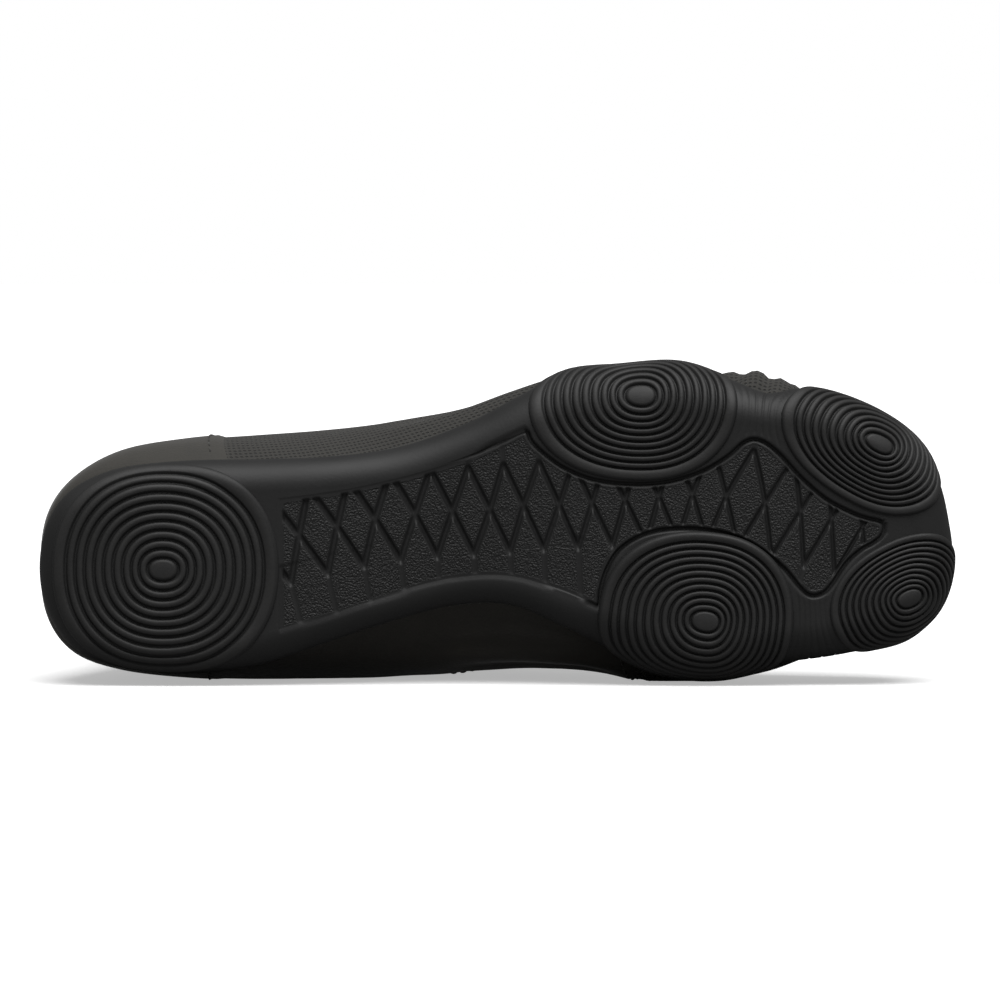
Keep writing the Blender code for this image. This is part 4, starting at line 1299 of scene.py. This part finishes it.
@dataclass
class Upper:
    """The hollow upper: knit body, suede counter, toe cap and rand, and a soft collar band."""

    last: Last
    materials: list[bpy.types.Material]
    rows: int = 190
    levels: int = 96
    step_height: float = 0.8 * MM
    counter_end: float = 4.5
    counter_top: float = 1.5
    cap_start: float = 17.5
    cap_top: float = 2.0
    rand_top: float = 0.32
    saddle_top: float = 1.42
    saddle_end: float = 11.4
    collar_foot: float = 2.8
    collar_swell: float = 1.7 * MM
    seam_depth: float = 0.45 * MM
    seam_row: float = 12.9
    seam_lean: float = 1.6
    softness: float = 0.06
    web_swell: float = 2.1 * MM
    web_place: tuple[float, float] = (13.6, 0.95)
    web_reach: tuple[float, float] = (0.85, 0.5)
    ball_swell: float = 5.2 * MM
    ball_place: tuple[float, float] = (12.0, 0.85)
    ball_reach: tuple[float, float, float] = (1.2, 2.6, 0.42)
    hole_radius: float = 2.4 * MM

    def saddle(self, side: Side, row: Array, level: Array, soft: float = 1e-6) -> Array:
        """How much of each place is the medial side's suede panel under the waist."""
        ends = ease((row - self.counter_end) / soft + 0.5) * ease((self.saddle_end - row) / soft + 0.5)
        return ends * ease((self.saddle_top - level) / soft + 0.5) * (side is Side.MEDIAL)

    def zones(self, side: Side, row: Array, level: Array) -> Array:
        """Material of each place: 0 knit, 1 suede overlay, 2 collar cloth."""
        counter = (row <= self.counter_end) & (level <= self.counter_top)
        cap = (row >= self.cap_start) & (level <= self.cap_top)
        rand = level <= self.rand_top
        collar = (row <= self.last.collar_row) & (level >= self.collar_foot)
        panel = self.saddle(side, row, level) > 0.5
        return np.where(collar, 2, np.where(counter | cap | rand | panel, 1, 0))

    def quarter_seam(self, level: Array) -> Array:
        """Row of the seam between vamp and quarter at each level."""
        return self.seam_row - self.seam_lean * ease((2.4 - level) / 2.1)

    def lifts(self, side: Side, row: Array, level: Array) -> Array:
        """How far overlays, seams and folds stand out of the wall."""
        soft = self.softness
        counter = ease((self.counter_end - row) / soft + 0.5)
        counter = counter * ease((self.counter_top - level) / soft + 0.5)
        cap = ease((row - self.cap_start) / soft + 0.5) * ease((self.cap_top - level) / soft + 0.5)
        rand = ease((self.rand_top - level) / soft + 0.5) * 0.7
        fade = ease((level + 0.02) / 0.2)
        panel = self.saddle(side, row, level, soft)
        overlay = self.step_height * np.maximum.reduce([counter, cap, rand, 0.7 * panel]) * fade
        up = np.clip((level - self.collar_foot) / (3.0 - self.collar_foot), 0, 1)
        band = ease((self.last.collar_row + 0.1 - row) / 0.5)
        roll = self.collar_swell * np.sin(np.pi * up ** 0.85) ** 0.7 * band
        foot = self.seam_depth * np.exp(-(((level - self.collar_foot) / 0.022) ** 2)) * band
        off = np.abs(row - self.quarter_seam(level)) / 0.09
        seam = self.seam_depth * np.exp(-(off**2)) * (level > self.rand_top) * (level < 2.36)
        folds = sum(crease.lift(side, row, level) for crease in CREASES)
        if side is Side.LATERAL:
            # The cloth fills out between the two lateral pods.
            place, reach = self.web_place, self.web_reach
            spread = ((row - place[0]) / reach[0]) ** 2 + ((level - place[1]) / reach[1]) ** 2
            folds = folds + self.web_swell * np.exp(-spread)
        else:
            # Under the ball of the foot the cloth sags on to the floor.
            place, (behind, ahead, aside) = self.ball_place, self.ball_reach
            reach = np.where(row < place[0], behind, ahead)
            spread = ((row - place[0]) / reach) ** 2 + ((level - place[1]) / aside) ** 2
            folds = folds + self.ball_swell * np.exp(-spread)
        under_stay = 1 - ease((level - 2.22) / 0.12) * ease((13.3 - row) / 0.2)
        held = ease(level / 0.3) * ease((18.6 - row) / 1.5)
        held = held * np.where(row > self.last.collar_row - 0.4, under_stay, 1.0)
        return overlay + roll - foot - seam + folds * held

    def half(self, side: Side) -> bmesh.types.BMesh:
        """One side's outer face, pierced for the lace."""
        rows = np.linspace(0, self.last.last_row, self.rows)[:, None]
        levels = np.concatenate([np.linspace(-1, 0, 10)[:-1], np.linspace(0, 3, self.levels)])
        row, level = (a + np.zeros((self.rows, len(levels))) for a in (rows, levels))
        points = self.last.lying(self.last.lifted(row, side, level, self.lifts(side, row, level)))
        middle = self.zones(side, (row[1:, 1:] + row[:-1, :-1]) / 2, (level[1:, 1:] + level[:-1, :-1]) / 2)
        middle = pierced(middle, points, self.last.lace_holes(side), self.hole_radius)
        return grid_mesh(points, uv=arc_uv(points), zones=middle)

    def build(self) -> None:
        """Builds and dresses the upper."""
        mesh = joined([self.half(side) for side in Side])
        obj = object_of(away_from(mesh, self.last.inside_point()), "knit_upper")
        wall(obj, self.last.upper_wall, edging=1)
        finish_piece(obj, self.materials, ("upper",))


@dataclass
class Stitching:
    """Sewn thread along the overlays' edges, the collar and the seams, one capsule a stitch."""

    last: Last
    upper: Upper
    thread: bpy.types.Material
    pitch: float = 3.1 * MM
    stitch: float = 2.3 * MM
    radius: float = 0.3 * MM
    steps: int = 300
    inner_steps: int = 262
    inset: float = 0.07
    foot: float = 0.45

    def run(self, side: Side, row: Array, level: Array, proud: float = 0.0) -> Array:
        """Stitches along one line of places, as small grids."""
        base = np.full(row.shape, proud) if proud else self.upper.lifts(side, row, level)
        points = self.last.lying(self.last.lifted(row, side, level, base))
        normals = self.last.lying(self.last.upper_normals(row, side, level)) - self.last.shift
        arc = arc_length(points)
        starts = np.arange(self.pitch / 2, arc[-1] - self.stitch, self.pitch)
        stations = starts[:, None] + np.array([0.0, 0.1, 0.5, 0.9, 1.0]) * self.stitch
        place = np.stack([np.interp(stations, arc, points[:, k]) for k in range(3)], axis=-1)
        normal = unit(np.stack([np.interp(stations, arc, normals[:, k]) for k in range(3)], axis=-1))
        aside = unit(np.cross(normal, place[:, -1:] - place[:, :1]))
        height = np.array([-0.30, 0.0, 0.16, 0.0, -0.30]) * MM
        girth = np.array([0.0, 0.8, 1.0, 0.8, 0.0]) * self.radius
        place = place + normal * height[:, None]
        turn = np.linspace(0, 2 * math.pi, 7)
        ring = normal[:, :, None] * np.cos(turn)[:, None] + aside[:, :, None] * np.sin(turn)[:, None]
        return place[:, :, None] + ring * girth[:, None, None]

    def lines(self, side: Side) -> list[tuple[Array, Array, float]]:
        """Rows, levels and how far out of the upper each sewn line lies on one side."""
        up, last = self.upper, self.last
        t, flat = np.linspace(0, 1, self.steps), np.ones(self.steps)
        over = GAP + OVERLAY
        throat = np.linspace(last.collar_row + 0.15, 12.75, self.steps)
        saddle = up.counter_end + (up.saddle_end - up.counter_end) * t
        cap = up.cap_start + 0.18
        climb = self.foot + 1.85 * t
        seam = up.quarter_seam(climb)
        return [(saddle, flat * (up.saddle_top - self.inset), 0.0)] * (side is Side.MEDIAL) + [
            (up.counter_end * t, flat * (up.counter_top - self.inset), 0.0),
            (flat * (up.counter_end - 0.16), self.foot + 0.98 * t, 0.0),
            (cap + (last.last_row - 0.02 - cap) * t, flat * (up.cap_top - self.inset), 0.0),
            (flat * cap, self.foot + 1.48 * t, 0.0),
            (last.collar_row * 0.98 * t, flat * (up.collar_foot - 0.06), 0.0),
            (last.last_row * t, flat * (up.rand_top - self.inset), 0.0),
            (throat, flat * (STAY_LEVEL + 0.06), over),
            (throat[: self.inner_steps], flat[: self.inner_steps] * 2.93, over),
            (seam + 0.2, climb, 0.0),
            (seam - 0.2, climb, 0.0),
        ]

    def build(self) -> None:
        """Builds and dresses the thread."""
        parts = np.concatenate([self.run(side, *line) for side in Side for line in self.lines(side)])
        points, zones = stacked(parts)
        obj = object_of(outward(grid_mesh(points, uv=arc_uv(points), zones=zones)), "stitching")
        finish_piece(obj, [self.thread])


def shell(outer: Array, thickness: Array) -> tuple[Array, Array]:
    """A closed pad from its outer face, with its inner face a thickness behind it.

    Args:
        outer: rows by columns by 3, drawn so that its normals point out.
        thickness: rows by columns, 0 where the faces meet.

    Returns:
        The closed grid, and its pattern coordinates.
    """
    inner = outer - grid_normals(outer) * thickness[..., None]
    points = np.concatenate([outer, inner[:, -2:0:-1], outer[:, :1]], axis=1)
    return points, arc_uv(points)


@dataclass
class Tongue:
    """The padded, quilted tongue under the throat."""

    last: Last
    cloth: bpy.types.Material
    thickness: float = 3.2 * MM
    clearance: float = 1.4 * MM
    crown: float = 2.4 * MM
    rise: float = 10 * MM
    channel_pitch: float = 11.5 * MM
    channel_depth: float = 0.9 * MM
    channel_width: float = 1.5 * MM
    rows: int = 96
    end_row: float = 12.98
    top_rows: int = 15
    top_narrowing: float = 0.24
    top_rounding: float = 0.88
    binding: float = 0.9
    hollow: tuple[float, float, float] = (0.09, 0.0, 0.03)

    def section(self, row: Array) -> Array:
        """Outer points of sections at some rows, from the lateral to the medial edge."""
        drop = -(self.last.upper_wall + self.clearance)
        levels = np.linspace(STAY_LEVEL, 3.0, 12)
        sides = []
        for side in (Side.LATERAL, Side.MEDIAL):
            rows, level = np.broadcast_arrays(row[:, None], levels)
            sides.append(self.last.lifted(rows, side, level, np.full(rows.shape, drop)))
        lateral, medial = sides
        top = [self.last.upper_normals(row, side, np.full(len(row), 3.0)) for side in Side]
        normal = unit(top[0] + top[1])
        span = np.linalg.norm(lateral[:, -1] - medial[:, -1], axis=-1)
        crown = normal * (self.crown * np.minimum(span / (0.2 * self.last.ball_width), 1.0))[:, None]
        t = np.linspace(0, 1, 27)[1:-1, None]
        bulge = 1 - np.abs(2 * t - 1) ** 1.84
        middle = lateral[:, -1:] + (medial[:, -1:] - lateral[:, -1:]) * t + crown[:, None] * bulge
        return np.concatenate([lateral, middle, medial[:, ::-1]], axis=1)

    def outer(self) -> Array:
        """The outer face, from above the collar to under the vamp."""
        body = self.section(np.linspace(self.last.collar_row, self.end_row, self.rows))
        centre = body[0, body.shape[1] // 2]
        climb = centre - body[7, body.shape[1] // 2]
        climb = climb / np.linalg.norm(climb) * self.rise
        share = np.linspace(1, 0, self.top_rows)[:-1, None, None]
        narrow = self.top_narrowing * share + self.top_rounding * np.clip(share - 0.75, 0, 1) ** 2
        top = body[0] + (centre - body[0]) * narrow + climb * share
        return np.concatenate([top, body], axis=0)

    def build(self) -> None:
        """Builds and dresses the tongue."""
        outer = self.outer()
        probe = outer.shape[0] // 2, outer.shape[1] // 2
        if (grid_normals(outer)[probe] * (outer[probe] - np.array(self.hollow))).sum() < 0:
            outer = outer[:, ::-1]
        arc = arc_length(outer[:, outer.shape[1] // 2])
        phase = (arc - 4 * MM) / self.channel_pitch
        off = np.abs(phase - np.round(phase)) * self.channel_pitch
        across = np.linspace(-1, 1, outer.shape[1])
        bound = ease((self.binding - np.abs(across)) / 0.06)
        dip = np.exp(-((off / self.channel_width) ** 2))[:, None] * bound
        edge = np.exp(-(((np.abs(across) - self.binding) / 0.03) ** 2))
        dip = np.maximum(dip, edge) * self.channel_depth
        ends = np.minimum(arc, arc[-1] - arc) / (1.6 * MM)
        round_off = np.sqrt(np.clip(1 - (1 - np.minimum(ends, 1.0)) ** 2, 0, 1))
        rim = np.sqrt(np.clip(1 - np.abs(across) ** 24, 0, 1))
        full = self.thickness * round_off[:, None] * rim
        puffed = outer + grid_normals(outer) * (0.3 * MM - dip)[..., None] * round_off[:, None, None]
        points, uv = shell(puffed, np.maximum(full - dip, 0) * (full > 0))
        obj = object_of(outward(grid_mesh(self.last.lying(points), uv=uv)), "tongue_pad")
        finish_piece(obj, [self.cloth], ("tongue",))


@dataclass
class Footbed:
    """The foam footbed with its woven cover, on the sole's floor."""

    last: Last
    cloth: bpy.types.Material
    thickness: float = 3.5 * MM
    columns: int = 41

    def build(self) -> None:
        """Builds and dresses the footbed."""
        last = self.last
        toe, end = last.last_row, np.linspace(0, 1, 15) ** 1.5
        rows = np.concatenate([end[:-1], np.linspace(1, toe - 1, 100), toe - end[-2::-1]])
        inset = np.full(len(rows), -last.cup_gap)
        sides = (Side.MEDIAL, Side.LATERAL)
        ends = [last.edge_points(last.stations(rows, side), inset, 0 * inset) for side in sides]
        share = np.linspace(0, 1, self.columns)[:, None]
        flat = ends[0][:, None] + (ends[1] - ends[0])[:, None] * share
        under = last.underside(flat[..., 0], flat[..., 1]) + last.sole_wall + last.cup_gap
        low = np.stack([flat[..., 0], flat[..., 1], under], axis=-1)
        across = np.abs(2 * share[:, 0] - 1)
        pad = np.sqrt(np.clip(1 - across**16, 0, 1)) * (1 - 0.12 * np.cos(np.pi * across))
        reach = np.minimum(rows, toe - rows) / 0.6
        pad = pad * np.sqrt(np.clip(1 - (1 - np.minimum(reach, 1)) ** 2, 0, 1))[:, None]
        high = low + np.array([0.0, 0.0, 1.0]) * (self.thickness * 0.95 * pad)[..., None]
        points = np.concatenate([high, low[:, -2:0:-1], high[:, :1]], axis=1)
        obj = object_of(outward(grid_mesh(last.lying(points), uv=arc_uv(points))), "footbed")
        finish_piece(obj, [self.cloth], ("insole",))


@dataclass
class Eyestay:
    """The U-shaped suede overlay round the throat, pierced for the lace."""

    last: Last
    suede: bpy.types.Material
    rows: int = 120
    levels: int = 26
    hole_radius: float = 2.5 * MM

    def half(self, side: Side) -> bmesh.types.BMesh:
        """One side's sheet on the upper's surface."""
        rows = np.linspace(self.last.collar_row, 13, self.rows)[:, None]
        row, level = np.broadcast_arrays(rows, np.linspace(STAY_LEVEL, 3.0, self.levels))
        points = self.last.lying(self.last.lifted(row, side, level, np.full(row.shape, GAP)))
        whole = np.zeros((self.rows - 1, self.levels - 1), int)
        zones = pierced(whole, points, self.last.lace_holes(side), self.hole_radius)
        return grid_mesh(points, uv=arc_uv(points), zones=zones)

    def build(self) -> None:
        """Builds and dresses the overlay."""
        mesh = joined([self.half(side) for side in Side])
        obj = object_of(away_from(mesh, self.last.inside_point()), "eyestay_overlay")
        wall(obj, OVERLAY, outside=True)
        finish_piece(obj, [self.suede], ("eyestay",))


@dataclass
class Eyelets:
    """The lace holes' rings: a rolled flange on the overlay and a barrel through it."""

    last: Last
    metal: bpy.types.Material
    hole: float = 2.1 * MM
    segments: int = 28

    def build(self) -> None:
        """Builds and dresses the rings."""
        seat = GAP + OVERLAY
        profile = np.array([
            (0.0, -2.6), (0.0, 0.6), (0.1, 1.15), (0.35, 1.45), (0.8, 1.5), (1.3, 1.35), (1.62, 0.95),
            (1.7, 0.45), (1.66, 0.0), (1.2, -0.05), (0.45, -0.2), (0.3, -2.6), (0.0, -2.6),
        ]) * MM
        turn = np.linspace(0, 2 * math.pi, self.segments + 1)
        parts = []
        for side in Side:
            for row in EYELET_ROWS:
                centre = self.last.upper_points(row, side, EYELET_LEVEL)
                normal = self.last.upper_normals(row, side, EYELET_LEVEL)
                ahead = self.last.upper_points(row + 0.1, side, EYELET_LEVEL) - centre
                ahead = unit(ahead - normal * (ahead * normal).sum())
                aside = np.cross(normal, ahead)
                spoke = ahead * np.cos(turn)[:, None] + aside * np.sin(turn)[:, None]
                radius, height = self.hole + profile[:, 0], profile[:, 1] + seat
                parts.append(centre + spoke * radius[:, None, None] + normal * height[:, None, None])
        points, zones = stacked(self.last.lying(np.array(parts)))
        obj = object_of(outward(grid_mesh(points, zones=zones)), "eyelet_rings")
        numbers = range(1, len(EYELET_ROWS) + 1)
        nodes = tuple(f"eyelet_{side.name.lower()}_{k}" for side in Side for k in numbers)
        finish_piece(obj, [self.metal], nodes)


@dataclass
class Lace:
    """One flat lace, run through the eyelets from a bar at the bottom up to the top pair."""

    last: Last
    webbing: bpy.types.Material
    width: float = 5.2 * MM
    narrow: float = 3.5 * MM
    thickness: float = 1.3 * MM
    knot_steps: int = 7
    over: float = 4.05 * MM
    under: float = -2.95 * MM

    def place(self, row: float, side: Side, level: float, lift: float) -> tuple[Array, Array]:
        """A point over or under the upper, and the upper's direction out there."""
        point = self.last.lifted(np.array(row), side, np.array(level), np.array(lift))
        return point, self.last.upper_normals(row, side, level)

    def through(
        self, row: float, side: Side, sign: float, upward: bool
    ) -> list[tuple[Array, Array, float]]:
        """Knots through one hole, from under the upper to over it or the other way.

        Args:
            row: the hole's row.
            side: the shoe's side.
            sign: which way the lace's flat face looks, 1 or -1.
            upward: whether the lace comes up through the hole.

        Returns:
            Place, direction of the flat face and width at each knot.
        """
        edge, _ = self.place(row, side, 3.0, 0.0)
        hole, normal = self.place(row, side, EYELET_LEVEL, 0.0)
        inward = edge - hole
        inward = unit(inward - normal * (inward * normal).sum())
        low = hole + normal * (self.under + 0.3 * MM) + inward * 1.0 * MM
        high = hole + normal * (self.over - 0.2 * MM) + inward * 1.1 * MM
        turned = inward * (sign if upward else -sign)
        ends = [(low, self.narrow), (high, self.narrow + 0.5 * MM)]
        start, end = ends if upward else ends[::-1]
        return [
            (start[0], unit(normal * sign + turned), start[1]),
            (hole + normal * 0.2 * MM, turned, self.narrow),
            (end[0], unit(turned - normal * sign), end[1]),
        ]

    def strand(self, first: Side, raised: float) -> list[tuple[Array, Array, float]]:
        """Knots of one strand: place, direction of its flat face, and width."""
        rows = EYELET_ROWS[::-1]
        edges = [self.place(rows[0], side, 3.0, self.under) for side in (first, first.other)]
        bar = (edges[0][0] + edges[1][0]) / 2
        up = unit(edges[0][1] + edges[1][1])
        knots = [(bar + up * 1.3 * MM, up, self.width), (edges[0][0], edges[0][1], self.width)]
        sign, side = 1.0, first
        knots += self.through(rows[0], side, -sign, True)
        sign = -sign
        for k in range(len(rows) - 1):
            here, following = rows[k], rows[k + 1]
            climb, last = following - here, k == len(rows) - 2
            near, near_up = self.place(here + climb * 0.3, side, 3.0, self.over + 0.5 * MM)
            far_lift = self.over + 0.5 * MM if last else self.under
            far, far_up = self.place(here + climb * 0.72, side.other, 3.0, far_lift)
            out = unit(near_up + far_up)
            middle = (near + far) / 2 + out * (raised + (0.3 * MM if last else 0.9 * MM))
            knots += [(near, near_up * sign, self.width), (middle, out * sign, self.width)]
            knots += [(far, far_up * sign, self.width)]
            side = side.other
            knots += self.through(following, side, sign, not last)
            sign = -sign
        return knots

    def ribbon(self, knots: list[tuple[Array, Array, float]]) -> Array:
        """A flat braid with rounded edges along knots, closed at both ends."""
        rows = np.array([np.concatenate([place, face, [width]]) for place, face, width in knots])
        fine = smooth_line(rows, steps=self.knot_steps)
        centre, width = fine[:, :3], fine[:, 6]
        ahead = unit(np.gradient(centre, axis=0))
        face = fine[:, 3:6] - ahead * (fine[:, 3:6] * ahead).sum(axis=-1, keepdims=True)
        face = unit(face)
        aside = np.cross(face, ahead)
        turn = np.linspace(0, 2 * math.pi, 15)
        x = np.sign(np.cos(turn)) * np.abs(np.cos(turn)) ** 0.55
        y = np.sign(np.sin(turn)) * np.abs(np.sin(turn)) ** 0.8
        across = aside[:, None] * (x * width[:, None] / 2)[..., None]
        ring = across + face[:, None] * (y * self.thickness / 2)[:, None]
        caps = np.ones(len(centre))
        caps[[0, -1]] = 0.0
        return centre[:, None] + ring * caps[:, None, None]

    def build(self) -> None:
        """Builds and dresses the lace."""
        left = self.strand(Side.LATERAL, 0.0)
        right = self.strand(Side.MEDIAL, 1.3 * MM)
        points = self.last.lying(self.ribbon(left[:0:-1] + right))
        obj = object_of(outward(grid_mesh(points, uv=arc_uv(points))), "flat_lace")
        finish_piece(obj, [self.webbing], ("lace",))


@dataclass
class Studio:
    """Camera, white floor and soft light from above."""

    frame_width: float = 0.304
    distance: float = 1.9
    sensor: float = 36.0
    elevation: float = 2.2
    target: tuple[float, float, float] = (0.0, -0.07, 0.0562)
    sun_from: tuple[float, float, float] = (0.12, -0.36, 0.92)
    sun_strength: float = 3.7
    sun_angle: float = 55.0
    room_light: float = 0.16
    floor_bounce: str = "#7c7c7c"
    paper: str = "#efefef"
    floor_reach: float = 30.0
    shadow_veil: float = 0.42
    farthest: float = 40.0

    def camera(self) -> None:
        """A long lens, nearly level with the shoe, that looks along +Y at the sole."""
        data = bpy.data.cameras.new("camera")
        data.sensor_width = self.sensor
        data.sensor_fit = "HORIZONTAL"
        data.lens = self.sensor * self.distance / self.frame_width
        data.clip_end = self.farthest
        camera = bpy.data.objects.new("camera", data)
        bpy.context.scene.collection.objects.link(camera)
        tilt = math.radians(self.elevation)
        back = Vector((0.0, -math.cos(tilt), math.sin(tilt)))
        camera.location = Vector(self.target) + back * self.distance
        camera.rotation_mode = "QUATERNION"
        camera.rotation_quaternion = (-back).to_track_quat("-Z", "Y")
        bpy.context.scene.camera = camera

    def sun(self) -> None:
        """One broad light from above the sole, as from a large overhead softbox."""
        data = bpy.data.lights.new("overhead_softbox", "SUN")
        data.energy = self.sun_strength
        data.angle = math.radians(self.sun_angle)
        lamp = bpy.data.objects.new("overhead_softbox", data)
        bpy.context.scene.collection.objects.link(lamp)
        lamp.rotation_mode = "QUATERNION"
        lamp.rotation_quaternion = (-Vector(self.sun_from)).to_track_quat("-Z", "Y")

    def room(self) -> None:
        """A white backdrop to the camera, and a dim room to everything else."""
        world = bpy.data.worlds.new("studio")
        world.use_nodes = True
        tree = world.node_tree
        path = add_node(tree, "LightPath")
        strength = add_node(
            tree, "MapRange",
            {"Value": path.outputs["Is Camera Ray"], "To Min": self.room_light, "To Max": 1.0},
        )
        glow = {"Strength": strength.outputs[0], "Color": (1.0, 1.0, 1.0, 1.0)}
        set_inputs(tree.nodes["Background"], glow)
        bpy.context.scene.world = world

    def floor(self) -> None:
        """A wide floor of white paper."""
        mesh = bmesh.new()
        bmesh.ops.create_grid(mesh, x_segments=1, y_segments=1, size=self.floor_reach)
        obj = object_of(mesh, "floor")
        made, tree, shader = new_material("white_paper")
        place = add_node(tree, "TexCoord").outputs["Object"]
        grain = add_node(tree, "TexNoise", {"Vector": place, "Scale": 400.0, "Detail": 2.0})
        bump = add_node(
            tree, "Bump", {"Strength": 0.05, "Distance": 0.0002, "Height": grain.outputs["Fac"]}
        )
        # Paper that shows white to the camera but throws little light up.
        path = add_node(tree, "LightPath")
        shown = add_node(
            tree, "Mix",
            {
                "Factor": path.outputs["Is Camera Ray"],
                6: linear(self.floor_bounce), 7: linear(self.paper),
            },
            data_type="RGBA",
        )
        # Thins the cast shadow to the pale grey of the picture.
        veil = add_node(
            tree, "Math", {0: path.outputs["Is Camera Ray"], 1: self.shadow_veil}, operation="MULTIPLY"
        )
        set_inputs(shader, {
            "Base Color": shown.outputs[2], "Normal": bump.outputs[0], "Roughness": 0.95,
            "Specular IOR Level": 0.1, "Emission Strength": veil.outputs[0],
            "Emission Color": (1.0, 1.0, 1.0, 1.0),
        })
        obj.data.materials.append(made)

    def build(self) -> None:
        """Sets the stage."""
        bpy.context.scene.view_settings.view_transform = "Standard"
        self.room()
        self.floor()
        self.sun()


def build() -> None:
    """Builds every sub-assembly round the frame, in order."""
    studio = Studio()
    studio.camera()
    last = Last()
    rubber = MouldedRubber().make()
    Outsole(last, Tread(last, {pod.name: pod for pod in PODS}), rubber).build()
    collar = WovenCloth("collar_cloth", "#151412", "#2b2926", 0.9 * MM).make()
    suede = BrushedSynthetic().make()
    upper = Upper(last, [MeshCloth().make(), suede, collar])
    upper.build()
    Footbed(last, WovenCloth("footbed_cloth", "#1a1a1a", "#343434", 1.0 * MM).make()).build()
    Tongue(last, WovenCloth("tongue_cloth", "#171614", "#2c2a27", 0.9 * MM, turn=0.78).make()).build()
    Eyestay(last, suede).build()
    Eyelets(last, PaintedBrass().make()).build()
    Lace(last, WovenCloth("braided_polyester", "#141414", "#333333", 0.75 * MM, turn=0.62).make()).build()
    Stitching(last, upper, WovenCloth("bonded_thread", "#242321", "#45433f", 0.5 * MM).make()).build()
    studio.build()


def main() -> None:
    """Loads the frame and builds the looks."""
    logging.basicConfig(level=logging.INFO, format="%(name)s: %(message)s")
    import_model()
    build()


if __name__ == "__main__":
    main()
